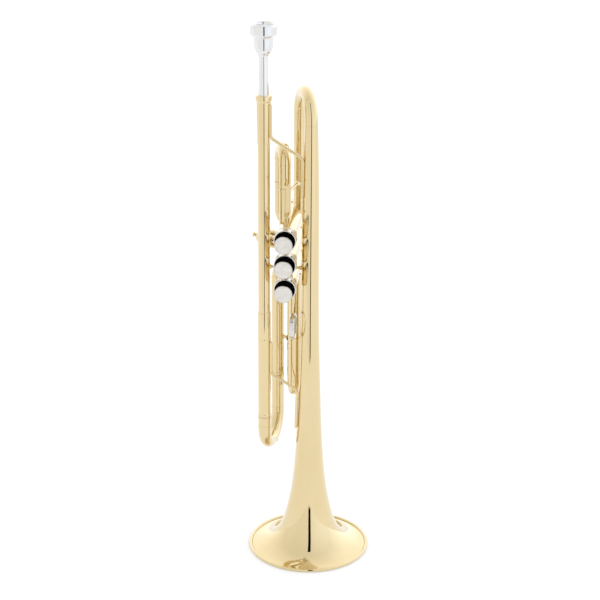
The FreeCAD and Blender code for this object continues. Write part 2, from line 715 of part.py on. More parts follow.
def slide3_tube(leg, end_z):
    """A fixed tube of the third slide, from the casing down to its end ferrule."""
    end = at(leg, end_z)
    ferrule = tube(end, end + Z_UP * 4.5, LEG_R + 0.35, LEG_BORE)
    band = tube(at(leg, 244), at(leg, 246), LEG_R + 0.25, LEG_BORE)
    return join(tube(end, at(leg, VALVE_Z[2]), LEG_R, LEG_BORE), ferrule, band).cut(casing_solid(2))


def slide3_bow():
    """The moving bow of the third slide with its legs, drain seat and key saddle."""
    near = sleeve(S3_NEAR, S3_NEAR_END - GAP, S3_SPRING_Z, LEG_R, LEG_BORE)
    far = sleeve(S3_FAR, S3_FAR_END - GAP, S3_SPRING_Z, LEG_R, LEG_BORE)
    turn = bow(at(S3_NEAR, S3_SPRING_Z), at(S3_FAR, S3_SPRING_Z), Z_DOWN, LEG_R, LEG_BORE)
    seat = drain_seat(S3_NEAR, S3_FAR, S3_SPRING_Z, LEG_R)
    saddle = key_saddle(S3_FAR, S3_SPRING_Z, LEG_R)
    air = bow(at(S3_NEAR, S3_SPRING_Z), at(S3_FAR, S3_SPRING_Z), Z_DOWN, LEG_BORE, 0)
    leg_air = cyl(at(S3_FAR, S3_SPRING_Z), at(S3_FAR, S3_FAR_END - GAP), LEG_BORE)
    return join(near, far, turn, seat, saddle).cut(air).cut(leg_air)


def slide3_inner_tubes():
    """The inner tubes of the third slide."""
    ends = (S3_NEAR_END - GAP, S3_FAR_END - GAP)
    tops = [end + S3_INNER for end in ends]
    return inner_tubes((S3_NEAR, S3_FAR), tops, ends, LEG_BORE - RUN)


def finger_ring():
    """The finger ring on the third slide's near tube, with its foot plate."""
    width = 5.0
    outer = 13.0
    center = V(S3_NEAR.x, S3_NEAR.y - LEG_R - outer + 0.2, 236.0)
    half = V(width / 2, 0, 0)
    band = tube(center - half, center + half, outer, outer - 1.8)
    plate = Part.makeBox(width, 3.0, 16, V(center.x - width / 2, S3_NEAR.y - LEG_R - 1.0, center.z - 8))
    pipe = cyl(at(S3_NEAR, S3_NEAR_END), at(S3_NEAR, VALVE_Z[2]), LEG_R)
    hole = cyl(center - half, center + half, outer - 1.8)
    return join(band, plate.cut(hole)).cut(pipe)


# Mouthpiece

def mouthpiece():
    """The mouthpiece: rim, cup, throat and tapered shank."""
    top = MOUTH_TOP
    outline = [(9.6, top - 0.6), (10.6, top), (11.4, top - 0.2), (MOUTH_R, top - 1.4), (MOUTH_R + 0.1, top - 4),
               (MOUTH_R, top - 9.5), (11.6, top - 10.6), (9.6, top - 11.2), (9.0, top - 12.5), (9.0, top - 20),
               (8.4, top - 23.5), (6.6, top - 26.5), (4.9, top - 28.2), (4.4, top - 31), (4.5, RECEIVER_TOP + 8),
               (SHANK_R, RECEIVER_TOP), (SHANK_END_R, SHANK_END), (4.1, SHANK_END), (1.9, top - 34),
               (1.9, top - 22), (3.2, top - 17), (6.8, top - 12), (8.2, top - 6), (8.6, top - 2)]
    return revolved(outline, V(LEAD_X, 0, 0), Z_UP, V(1, 0, 0))


def build():
    """Every sub-part by the name of its node."""
    parts = {
        "bell": bell(), "bell_rim": bell_rim_solid(), "bell_bow": bell_bow(), "bell_tail_ferrule": bell_tail_ferrule(),
        "mouthpiece_receiver": mouthpiece_receiver(), "leadpipe": leadpipe(), "leadpipe_ferrule": leadpipe_ferrule(),
        "slide_tube_upper": slide_tube_upper(), "slide_tube_lower": slide_tube_lower(),
        "valve3_elbow": valve3_elbow(), "upper_brace": upper_brace(), "lower_brace": lower_brace(),
        "valve_cross_stay": valve_cross_stay(), "tail_post": tail_post(), "leg_post": leg_post(),
        "valve_knuckles": valve_knuckles(), "cap_felts": cap_felts(), "valve_guides": valve_guides(),
        "slide1_tube_near": slide1_tube_near(), "slide1_tube_far": slide1_tube_far(),
        "slide2_tubes": slide2_tubes(), "slide3_tube_near": slide3_tube(S3_NEAR, S3_NEAR_END),
        "slide3_tube_far": slide3_tube(S3_FAR, S3_FAR_END), "finger_ring": finger_ring(),
        "tuning_bow": tuning_bow(), "tuning_inner_tubes": tuning_inner_tubes(),
        "tuning_water_key": water_key(TUNE_NEAR, TUNE_FAR, BOW_SPRING_Z, SLIDE_R),
        "tuning_key_cork": key_cork(TUNE_NEAR, TUNE_FAR, BOW_SPRING_Z, SLIDE_R),
        "slide1_bow": slide1_bow(), "slide1_inner_tubes": slide1_inner_tubes(), "thumb_saddle": thumb_saddle(),
        "slide2_bow": slide2_bow(), "slide2_inner_tubes": slide2_inner_tubes(), "slide2_knob": slide2_knob(),
        "slide3_bow": slide3_bow(), "slide3_inner_tubes": slide3_inner_tubes(),
        "slide3_water_key": water_key(S3_NEAR, S3_FAR, S3_SPRING_Z, LEG_R),
        "slide3_key_cork": key_cork(S3_NEAR, S3_FAR, S3_SPRING_Z, LEG_R), "mouthpiece": mouthpiece(),
    }
    makers = {"casing": casing, "top_cap": top_cap, "bottom_cap": bottom_cap, "piston": piston,
              "button": button, "pearl": pearl, "valve_spring": valve_spring}
    for name, maker in makers.items():
        for index in range(3):
            parts[f"{name}_{index + 1}"] = maker(index)
    return parts


os.makedirs("parts", exist_ok=True)
for node, shape in build().items():
    shape.exportStep(f"parts/{node}.step")
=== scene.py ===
"""A B-flat trumpet standing on its bell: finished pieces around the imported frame, a white studio and a camera."""

import json
import logging
import math
from dataclasses import dataclass, field
from enum import Enum

import bmesh
import bpy
import numpy as np
from mathutils import Matrix, Vector


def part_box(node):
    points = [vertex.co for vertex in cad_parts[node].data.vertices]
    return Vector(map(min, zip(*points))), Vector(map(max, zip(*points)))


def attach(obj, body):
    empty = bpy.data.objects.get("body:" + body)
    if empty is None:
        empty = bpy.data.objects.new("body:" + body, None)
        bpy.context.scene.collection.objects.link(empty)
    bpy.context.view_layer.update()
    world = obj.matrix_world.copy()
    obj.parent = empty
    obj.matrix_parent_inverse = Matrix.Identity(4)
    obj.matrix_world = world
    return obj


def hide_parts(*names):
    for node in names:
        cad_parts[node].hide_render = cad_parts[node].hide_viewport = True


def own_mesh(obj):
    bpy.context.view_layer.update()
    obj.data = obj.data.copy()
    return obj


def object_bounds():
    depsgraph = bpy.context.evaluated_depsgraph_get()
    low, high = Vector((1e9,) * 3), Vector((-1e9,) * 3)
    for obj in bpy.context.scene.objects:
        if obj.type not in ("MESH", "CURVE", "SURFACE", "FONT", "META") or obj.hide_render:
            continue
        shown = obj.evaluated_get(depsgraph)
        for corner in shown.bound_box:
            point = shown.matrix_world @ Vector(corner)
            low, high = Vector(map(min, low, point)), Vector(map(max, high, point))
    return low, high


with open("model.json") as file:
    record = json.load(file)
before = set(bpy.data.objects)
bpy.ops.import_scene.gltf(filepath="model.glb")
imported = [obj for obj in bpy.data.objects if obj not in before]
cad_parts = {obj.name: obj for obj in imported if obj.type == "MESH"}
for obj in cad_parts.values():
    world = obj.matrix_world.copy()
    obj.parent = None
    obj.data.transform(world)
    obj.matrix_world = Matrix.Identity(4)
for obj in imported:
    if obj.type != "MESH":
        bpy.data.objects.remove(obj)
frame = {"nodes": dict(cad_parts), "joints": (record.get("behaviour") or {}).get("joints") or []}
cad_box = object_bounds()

LOG = logging.getLogger("trumpet")
MM = 0.001
X_AXIS = Vector((1, 0, 0))
Y_AXIS = Vector((0, 1, 0))
Z_AXIS = Vector((0, 0, 1))
Outline = list[tuple[float, float]]
Colour = tuple[float, float, float]
CREASE = 40.0           # degrees between faces from which an edge looks sharp
WELD_REACH = 0.000002   # metres within which a boolean's vertices merge
WELD_SLIVER = 0.000001  # metres below which an edge is dissolved
TONE_STOPS = (0.32, 0.68)
WEAR_STOPS = (0.3, 0.7)
COAT_ROUGHNESS = 0.03
SLIDE_GAP = 0.3         # between a fixed tube's end and its slide
LEG_STOCKING = 5.2      # outer radius of a valve slide's inner tube
STOCKING_WALL = 0.4
SEAT = 0.1              # how far a collar's bore lies under its tube's surface


# Finishes

class Slot(Enum):
    """The record's material slots."""

    BRASS = "lacquered_brass"
    NICKEL = "nickel_silver"
    SILVER = "silver_plate"
    PISTON = "piston_alloy"
    SPRING = "spring_steel"
    PEARL = "pearl"
    FELT = "felt"
    CORK = "cork"
    GUIDE = "guide_plastic"


class Grain(Enum):
    """How a finish varies over a surface."""

    POLISHED = "polished"
    TURNED = "turned"
    SWIRLED = "swirled"
    FIBROUS = "fibrous"
    SPECKLED = "speckled"


def set_inputs(node: bpy.types.Node, values: dict[str, float | tuple[float, ...]]) -> None:
    """Sets a node's unlinked inputs by name."""
    for name, value in values.items():
        node.inputs[name].default_value = value


@dataclass(frozen=True)
class Finish:
    """A surface finish: two tones, a span of roughness and the grain that mixes them."""

    name: str
    slot: Slot
    grain: Grain
    dark: Colour
    light: Colour
    smoothest: float
    roughest: float
    scale: float
    relief: float
    relief_depth: float = 0.00002
    metallic: float = 0.0
    coat: float = 0.0
    specular: float = 0.5

    def _pattern(self, tree: bpy.types.NodeTree) -> tuple[bpy.types.NodeSocket, bpy.types.NodeSocket]:
        """Lays the grain's texture nodes.

        Args:
            tree: The material's node tree.

        Returns:
            The slow value that mixes tones and roughness, and the fine value that lifts the surface.
        """
        nodes, links = tree.nodes, tree.links
        place = nodes.new("ShaderNodeTexCoord")
        stretch = nodes.new("ShaderNodeMapping")
        stretch.inputs["Scale"].default_value = {
            Grain.TURNED: (1.0, 1.0, 14.0), Grain.POLISHED: (1.0, 1.0, 0.35)}.get(self.grain, (1.0, 1.0, 1.0))
        links.new(place.outputs["Object"], stretch.inputs["Vector"])
        broad = nodes.new("ShaderNodeTexNoise")
        broad.inputs["Scale"].default_value = self.scale
        broad.inputs["Detail"].default_value = 5.0
        broad.inputs["Distortion"].default_value = 2.2 if self.grain is Grain.SWIRLED else 0.2
        links.new(stretch.outputs["Vector"], broad.inputs["Vector"])
        if self.grain is Grain.SPECKLED:
            fine = nodes.new("ShaderNodeTexVoronoi")
            fine.inputs["Scale"].default_value = self.scale * 6.0
            lift = fine.outputs["Distance"]
        else:
            fine = nodes.new("ShaderNodeTexNoise")
            fine.inputs["Scale"].default_value = self.scale * (14.0 if self.grain is Grain.FIBROUS else 9.0)
            fine.inputs["Detail"].default_value = 8.0
            lift = fine.outputs["Fac"]
        links.new(stretch.outputs["Vector"], fine.inputs["Vector"])
        return broad.outputs["Fac"], lift

    def material(self) -> bpy.types.Material:
        """The finish as a node material, made once and shared."""
        made = bpy.data.materials.get(self.name)
        if made:
            return made
        made = bpy.data.materials.new(self.name)
        made.use_nodes = True
        tree = made.node_tree
        shader = tree.nodes["Principled BSDF"]
        slow, lift = self._pattern(tree)
        tones = tree.nodes.new("ShaderNodeValToRGB")
        for stop, place, tone in zip(tones.color_ramp.elements, TONE_STOPS, (self.dark, self.light)):
            stop.position, stop.color = place, (*tone, 1.0)
        wear, bump = tree.nodes.new("ShaderNodeMapRange"), tree.nodes.new("ShaderNodeBump")
        set_inputs(wear, {"From Min": WEAR_STOPS[0], "From Max": WEAR_STOPS[1],
                          "To Min": self.smoothest, "To Max": self.roughest})
        set_inputs(bump, {"Strength": self.relief, "Distance": self.relief_depth})
        set_inputs(shader, {"Metallic": self.metallic, "Specular IOR Level": self.specular,
                            "Coat Weight": self.coat, "Coat Roughness": COAT_ROUGHNESS})
        for output, target in ((slow, tones.inputs["Fac"]), (lift, wear.inputs["Value"]),
                               (lift, bump.inputs["Height"]),
                               (tones.outputs["Color"], shader.inputs["Base Color"]),
                               (wear.outputs["Result"], shader.inputs["Roughness"]),
                               (bump.outputs["Normal"], shader.inputs["Normal"])):
            tree.links.new(output, target)
        return made


LACQUER = Finish("lacquered_gold_brass", Slot.BRASS, Grain.POLISHED, (0.745, 0.595, 0.315), (0.785, 0.635, 0.355),
                 0.03, 0.065, 38.0, 0.06, metallic=1.0, coat=1.0)
NICKEL = Finish("polished_nickel_silver", Slot.NICKEL, Grain.POLISHED, (0.66, 0.64, 0.60), (0.76, 0.74, 0.70),
                0.05, 0.12, 60.0, 0.08, metallic=1.0)
SILVER = Finish("bright_silver_plate", Slot.SILVER, Grain.POLISHED, (0.74, 0.74, 0.735), (0.81, 0.805, 0.795),
                0.03, 0.08, 55.0, 0.05, metallic=1.0)
DRAWN_NICKEL = Finish("drawn_nickel_tube", Slot.NICKEL, Grain.TURNED, (0.62, 0.61, 0.58), (0.74, 0.73, 0.70),
                      0.10, 0.22, 90.0, 0.15, metallic=1.0)
PISTON_ALLOY = Finish("lapped_piston_alloy", Slot.PISTON, Grain.TURNED, (0.58, 0.58, 0.57), (0.70, 0.70, 0.69),
                      0.14, 0.28, 120.0, 0.2, metallic=1.0)
SPRING_STEEL = Finish("blued_spring_wire", Slot.SPRING, Grain.TURNED, (0.30, 0.30, 0.31), (0.48, 0.48, 0.49),
                      0.22, 0.36, 200.0, 0.2, metallic=1.0)
PEARL = Finish("white_button_pearl", Slot.PEARL, Grain.SWIRLED, (0.66, 0.615, 0.555), (0.79, 0.755, 0.70),
               0.16, 0.30, 110.0, 0.05, coat=0.5)
BLACK_FELT = Finish("black_cap_felt", Slot.FELT, Grain.FIBROUS, (0.0008, 0.0007, 0.0007), (0.0028, 0.0024, 0.0024),
                    0.9, 1.0, 420.0, 0.8, relief_depth=0.0002, specular=0.02)
KEY_CORK = Finish("pressed_key_cork", Slot.CORK, Grain.SPECKLED, (0.30, 0.17, 0.08), (0.55, 0.36, 0.19),
                  0.75, 0.95, 380.0, 0.7, relief_depth=0.00015)
GUIDE_NYLON = Finish("white_guide_nylon", Slot.GUIDE, Grain.POLISHED, (0.66, 0.65, 0.60), (0.76, 0.75, 0.70),
                     0.38, 0.5, 150.0, 0.1)


# Places taken from the frame

def span(node: str) -> tuple[Vector, Vector]:
    """The lowest and highest corners of a CAD node, in millimetres."""
    low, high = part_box(node)
    return low / MM, high / MM


def middle(node: str) -> Vector:
    """The centre of a CAD node's box, in millimetres."""
    low, high = span(node)
    return (low + high) / 2


def joint_axis(name: str) -> Vector:
    """The unit axis of a joint in the record."""
    return next(Vector(joint["axis"]).normalized() for joint in frame["joints"] if joint["name"] == name)


@dataclass(frozen=True)
class Leg:
    """The axis of an upright tube, in millimetres."""

    x: float
    y: float

    @classmethod
    def of(cls, node: str) -> "Leg":
        """The leg that runs up the middle of a CAD node."""
        centre = middle(node)
        return cls(centre.x, centre.y)

    def at(self, z: float) -> Vector:
        """The point of the leg at height z."""
        return Vector((self.x, self.y, z))


# Mesh making

@dataclass
class Path:
    """A centre line with its heading at every point, in millimetres."""

    points: list[Vector]
    headings: list[Vector]

    @classmethod
    def start(cls, point: Vector, heading: Vector) -> "Path":
        """A path that begins at point and faces along heading."""
        return cls([point.copy()], [heading.normalized()])

    def run(self, length: float, steps: int = 1) -> "Path":
        """Goes straight on for a length, in even steps."""
        begin, ahead = self.points[-1], self.headings[-1]
        for step in range(1, steps + 1):
            self.points.append(begin + ahead * (length * step / steps))
            self.headings.append(ahead.copy())
        return self

    def turn(self, toward: Vector, radius: float, degrees: float, steps: int = 0) -> "Path":
        """Bends towards a side.

        Args:
            toward: The side to bend to, square to the heading.
            radius: The bend's radius.
            degrees: How far the heading turns.
            steps: The number of points on the bend; 0 gives one for each 4 degrees.

        Returns:
            The same path.
        """
        steps = steps or max(4, round(degrees / 4))
        centre = self.points[-1] + toward.normalized() * radius
        axis = self.headings[-1].cross(toward).normalized()
        arm, ahead = self.points[-1] - centre, self.headings[-1]
        for step in range(1, steps + 1):
            swing = Matrix.Rotation(math.radians(degrees * step / steps), 3, axis)
            self.points.append(centre + swing @ arm)
            self.headings.append(swing @ ahead)
        return self

    @classmethod
    def coil(cls, start: Vector, rise: Vector, first: Vector, second: Vector, turns: int, facets: int) -> "Path":
        """A helix whose spoke begins along first and turns towards second, and that climbs by rise in all."""
        count = turns * facets
        points = []
        for step in range(count + 1):
            angle = 2 * math.pi * step / facets
            points.append(start + first * math.cos(angle) + second * math.sin(angle) + rise * (step / count))
        headings = [(after - before).normalized() for before, after in zip(points, points[1:])]
        return cls(points, headings + headings[-1:])

    @classmethod
    def bent(cls, corners: list[Vector], bend: float) -> "Path":
        """A path along straight runs whose corners are rounded to a bend radius."""
        path = cls.start(corners[0], corners[1] - corners[0])
        for before, corner, after in zip(corners, corners[1:], corners[2:]):
            arrive, leave = (corner - before).normalized(), (after - corner).normalized()
            angle = arrive.angle(leave)
            reach = bend * math.tan(angle / 2)
            path.run((corner - path.points[-1]).length - reach, 4)
            side = (leave - arrive * leave.dot(arrive)).normalized()
            path.turn(side, bend, math.degrees(angle))
            path.headings[-1] = leave
        return path.run((corners[-1] - path.points[-1]).length, 4)

    def lengths(self) -> list[float]:
        """How far along the path each point lies, from 0 to 1."""
        steps = [0.0] + [(b - a).length for a, b in zip(self.points, self.points[1:])]
        total = sum(steps)
        return [sum(steps[:index + 1]) / total for index in range(len(steps))]

    def frames(self, side: Vector | None = None) -> list[tuple[Vector, Vector]]:
        """Two cross directions at every point, carried along without twist.

        Args:
            side: The first cross direction at the start; a free choice if left out.

        Returns:
            A pair of unit vectors for each point.
        """
        across = (side or self.headings[0].orthogonal()).normalized()
        pairs = []
        previous = self.headings[0]
        for heading in self.headings:
            across = previous.rotation_difference(heading) @ across
            across = (across - heading * across.dot(heading)).normalized()
            pairs.append((across.copy(), heading.cross(across)))
            previous = heading
        return pairs


@dataclass(frozen=True)
class Knurl:
    """A band of coin-edge teeth on a turned piece, between two heights."""

    teeth: int
    depth: float
    low: float
    high: float
    radius: float

    def cut(self, radius: float, height: float, angles: np.ndarray) -> np.ndarray:
        """The radius around a ring, with teeth where the band covers it."""
        flat = np.full(len(angles), radius)
        if self.low <= height <= self.high and radius >= self.radius:
            flat -= self.depth * (0.5 - 0.5 * np.cos(self.teeth * angles))
        return flat


def soften(outline: Outline, radius: float = 0.3, closed: bool = True, steps: int = 3) -> Outline:
    """Rounds the corners of an outline.

    Args:
        outline: Points as (radius, height).
        radius: How far each rounding reaches along its two sides.
        closed: Whether the last point joins the first.
        steps: The number of facets in a rounding.

    Returns:
        The outline with its corners rounded.
    """
    soft: Outline = []
    count = len(outline)
    for index, corner in enumerate(outline):
        here = np.array(corner, float)
        if not closed and index in (0, count - 1):
            soft.append(corner)
            continue
        back = np.array(outline[index - 1], float) - here
        ahead = np.array(outline[(index + 1) % count], float) - here
        size_back, size_ahead = np.linalg.norm(back), np.linalg.norm(ahead)
        cosine = np.dot(back, ahead) / (size_back * size_ahead)
        if cosine < -0.985:
            soft.append(corner)
            continue
        reach = min(radius, 0.42 * size_back, 0.42 * size_ahead)
        enter, leave = here + back / size_back * reach, here + ahead / size_ahead * reach
        for step in range(steps + 1):
            t = step / steps
            point = (1 - t) ** 2 * enter + 2 * t * (1 - t) * here + t * t * leave
            soft.append((float(point[0]), float(point[1])))
    return soft


def flowing(points: Outline, steps: int) -> Outline:
    """A smooth curve through points, as a natural cubic spline by chord length.

    Args:
        points: The points the curve goes through.
        steps: The number of points in the answer.

    Returns:
        Evenly spread points of the curve.
    """
    knots = np.array(points, float)
    gaps = np.hypot(*np.diff(knots, axis=0).T)
    along = np.concatenate(([0.0], np.cumsum(gaps)))
    size = len(knots)
    system, right = np.eye(size), np.zeros((size, 2))
    for i in range(1, size - 1):
        system[i, i - 1:i + 2] = gaps[i - 1], 2 * (gaps[i - 1] + gaps[i]), gaps[i]
        right[i] = 6 * ((knots[i + 1] - knots[i]) / gaps[i] - (knots[i] - knots[i - 1]) / gaps[i - 1])
    bend = np.linalg.solve(system, right)
    curve = []
    for value in np.linspace(0.0, along[-1], steps):
        i = min(int(np.searchsorted(along, value, side="right")) - 1, size - 2)
        a, b, h = along[i + 1] - value, value - along[i], gaps[i]
        point = (bend[i] * a ** 3 + bend[i + 1] * b ** 3) / (6 * h)
        point = point + (knots[i] / h - bend[i] * h / 6) * a + (knots[i + 1] / h - bend[i + 1] * h / 6) * b
        curve.append((float(point[0]), float(point[1])))
    return curve


class Blank:
    """A mesh in the making: skins of joined rings and blocks, in millimetres."""

    def __init__(self) -> None:
        """Starts with nothing."""
        self.mesh = bmesh.new()

    def _rows(self, rings: list[np.ndarray]) -> list[list[bmesh.types.BMVert]]:
        """New vertices at the points of each ring."""
        return [[self.mesh.verts.new(point) for point in ring] for ring in rings]

    def _skin(self, low: list[bmesh.types.BMVert], high: list[bmesh.types.BMVert]) -> None:
        """Joins two rows of vertices with faces, all the way round."""
        for i in range(len(low)):
            j = (i + 1) % len(low)
            self.mesh.faces.new((low[i], low[j], high[j], high[i]))

    def loft(self, rings: list[np.ndarray], closed: bool = False) -> "Blank":
        """Joins rings of points into a skin.

        Args:
            rings: Arrays of points, all with the same count.
            closed: Whether the last ring joins the first; otherwise both ends are filled.

        Returns:
            The same blank.
        """
        rows = self._rows(rings)
        for low, high in list(zip(rows, rows[1:])) + ([(rows[-1], rows[0])] if closed else []):
            self._skin(low, high)
        if not closed:
            self.mesh.faces.new(rows[0])
            self.mesh.faces.new(rows[-1])
        return self

    def lathe(self, outline: Outline, base: Vector, axis: Vector, closed: bool = True, sectors: int = 64,
              knurl: Knurl | None = None) -> "Blank":
        """Turns an outline about an axis.

        Args:
            outline: Points as (radius, height along the axis).
            base: A point on the axis, at height 0.
            axis: The direction of the axis.
            closed: Whether the outline is a loop; otherwise it begins and ends on the axis.
            sectors: The number of points around.
            knurl: Teeth cut into part of it.

        Returns:
            The same blank.
        """
        side = axis.orthogonal().normalized()
        other = axis.cross(side).normalized()
        angles = np.linspace(0.0, 2 * math.pi, sectors, endpoint=False)
        ways = np.outer(np.cos(angles), side) + np.outer(np.sin(angles), other)
        rings = []
        for radius, height in outline:
            around = knurl.cut(radius, height, angles) if knurl else np.full(sectors, radius)
            rings.append(np.array(base + axis * height) + ways * around[:, None])
        if closed:
            return self.loft(rings, True)
        ends = [self.mesh.verts.new(base + axis * outline[i][1]) for i in (0, -1)]
        rows = self._rows(rings[1:-1])
        for low, high in zip(rows, rows[1:]):
            self._skin(low, high)
        for end, row in zip(ends, (rows[0], rows[-1])):
            for i in range(sectors):
                self.mesh.faces.new((end, row[i], row[(i + 1) % sectors]))
        return self

    def pipe(self, path: Path, radius: float | list[float], bore: float, sectors: int = 48,
             lip: float = 0.12) -> "Blank":
        """A tube along a path, with a wall and eased ends.

        Args:
            path: The centre line.
            radius: The outer radius, or one for each point.
            bore: The wall is this much thinner than the outer radius when negative, else the bore's radius.
            sectors: The number of points around.
            lip: How much the end edges are eased.

        Returns:
            The same blank.
        """
        count = len(path.points)
        outer = list(radius) if isinstance(radius, list) else [radius] * count
        inner = [r + bore for r in outer] if bore < 0 else [bore] * count
        angles = np.linspace(0.0, 2 * math.pi, sectors, endpoint=False)
        frames = path.frames()

        def ring(index: int, size: float, shift: float = 0.0) -> np.ndarray:
            """A ring of points at one place of the path."""
            across, over = frames[index]
            centre = path.points[index] + path.headings[index] * shift
            return np.array(centre) + size * (np.outer(np.cos(angles), across) + np.outer(np.sin(angles), over))

        rings = [ring(0, outer[0] - lip), ring(0, outer[0], lip)]
        rings += [ring(i, outer[i]) for i in range(1, count - 1)]
        rings += [ring(count - 1, outer[-1], -lip), ring(count - 1, outer[-1] - lip)]
        rings += [ring(i, inner[i]) for i in reversed(range(count))]
        return self.loft(rings, True)

    def sweep(self, path: Path, section: Outline, side: Vector | None = None,
              scales: list[tuple[float, float]] | None = None) -> "Blank":
        """A solid bar of a given section along a path.

        Args:
            path: The centre line.
            section: The section's outline as (across, over).
            side: The across direction at the start.
            scales: How much the section is stretched across and over at each point.

        Returns:
            The same blank.
        """
        shape = np.array(section, float)
        rings = []
        for index, (across, over) in enumerate(path.frames(side)):
            wide, high = scales[index] if scales else (1.0, 1.0)
            rings.append(np.array(path.points[index]) + np.outer(shape[:, 0] * wide, across)
                         + np.outer(shape[:, 1] * high, over))
        return self.loft(rings)

    def rod(self, corners: list[Vector], radius: float, bend: float, tip: float = 0.35) -> "Blank":
        """A round bar through corners, drawn down to a tip at both ends."""
        path = Path.bent(corners, bend)
        ease, grow = (0.0, 0.12, 0.35, 0.8, 1.6), [tip, 0.62, 0.82, 0.95, 1.0]
        (first, *points, last), (ahead, *headings, final) = path.points, path.headings
        eased = Path([first + ahead * radius * e for e in ease] + points
                     + [last - final * radius * e for e in reversed(ease)],
                     [ahead] * len(ease) + headings + [final] * len(ease))
        sizes = grow + [1.0] * len(points) + grow[::-1]
        return self.sweep(eased, disc(radius, 24), scales=[(size, size) for size in sizes])

    def ring_band(self, leg: Leg, low: float, high: float, radius: float, bore: float) -> "Blank":
        """A plain ring around an upright leg, with eased edges."""
        outline = soften([(bore, low), (radius, low), (radius, high), (bore, high)], 0.3)
        return self.lathe(outline, leg.at(0), Z_AXIS)

    def block(self, low: Vector, high: Vector, bevel: float) -> "Blank":
        """A block between two corners with rounded edges."""
        made = bmesh.ops.create_cube(self.mesh, size=1.0)["verts"]
        for vert in made:
            vert.co = Vector([low[k] + (vert.co[k] + 0.5) * (high[k] - low[k]) for k in range(3)])
        edges = list({edge for vert in made for edge in vert.link_edges})
        bmesh.ops.bevel(self.mesh, geom=edges, offset=bevel, segments=3, profile=0.5, affect="EDGES")
        return self

    def object(self, name: str, sharp: float = CREASE) -> bpy.types.Object:
        """The blank as a Blender object in metres, smooth but for its sharp edges."""
        bmesh.ops.recalc_face_normals(self.mesh, faces=self.mesh.faces)
        bmesh.ops.scale(self.mesh, vec=(MM, MM, MM), verts=self.mesh.verts)
        data = bpy.data.meshes.new(name)
        self.mesh.to_mesh(data)
        self.mesh.free()
        data.shade_smooth()
        data.set_sharp_from_angle(angle=math.radians(sharp))
        made = bpy.data.objects.new(name, data)
        bpy.context.scene.collection.objects.link(made)
        return made

    def piece(self, name: str, finish: Finish, body: str, *nodes: str,
              cutters: list[bpy.types.Object] | None = None) -> bpy.types.Object:
        """Finishes the blank as a piece of the trumpet.

        Args:
            name: The piece's name.
            finish: Its finish.
            body: The CAD body that carries it.
            nodes: The CAD nodes that it stands for.
            cutters: Solids to cut away from it.

        Returns:
            The piece.
        """
        made = self.object(name)
        if cutters:
            for cutter in cutters:
                cut = made.modifiers.new("cut", "BOOLEAN")
                cut.operation, cut.solver, cut.object, cut.use_self = "DIFFERENCE", "EXACT", cutter, True
            shaped = bpy.data.meshes.new_from_object(made.evaluated_get(bpy.context.evaluated_depsgraph_get()))
            made.modifiers.clear()
            made.data = shaped
            shaped.name = name
            weld(shaped)
            shaped.shade_smooth()
            shaped.set_sharp_from_angle(angle=math.radians(CREASE))
        made.data.materials.clear()
        made.data.materials.append(finish.material())
        even = made.modifiers.new("even_shading", "WEIGHTED_NORMAL")
        even.keep_sharp = True
        even.weight = 80
        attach(made, body)
        if nodes:
            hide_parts(*nodes)
        LOG.info("%s: %d faces, %s, on %s", name, len(made.data.polygons), finish.name, body)
        return made


def weld(data: bpy.types.Mesh) -> None:
    """Closes the hairline slits that a boolean leaves in a mesh."""
    mesh = bmesh.new()
    mesh.from_mesh(data)
    bmesh.ops.remove_doubles(mesh, verts=mesh.verts, dist=WELD_REACH)
    bmesh.ops.dissolve_degenerate(mesh, edges=mesh.edges, dist=WELD_SLIVER)
    mesh.to_mesh(data)
    mesh.free()


def disc(radius: float, sectors: int) -> Outline:
    """The outline of a round section."""
    return [(radius * math.cos(2 * math.pi * i / sectors), radius * math.sin(2 * math.pi * i / sectors))
            for i in range(sectors)]


def rounded_bar(width: float, thick: float, corner: float) -> Outline:
    """The outline of a flat bar with rounded corners, centred."""
    half, rise = width / 2, thick / 2
    return soften([(-half, -rise), (half, -rise), (half, rise), (-half, rise)], corner)


def waisted(length: float, waist: float, flange: float) -> Outline:
    """The outline of a turned post that is thin in the middle and spreads at both ends."""
    half = [(flange, 0.0), (flange * 0.92, 0.7), (waist * 1.35, 1.5), (waist * 1.08, 2.4), (waist, 3.4)]
    far = [(r, length - h) for r, h in reversed(half)]
    return [(0.0, 0.0)] + half + far + [(0.0, length)]


# Sub-assemblies

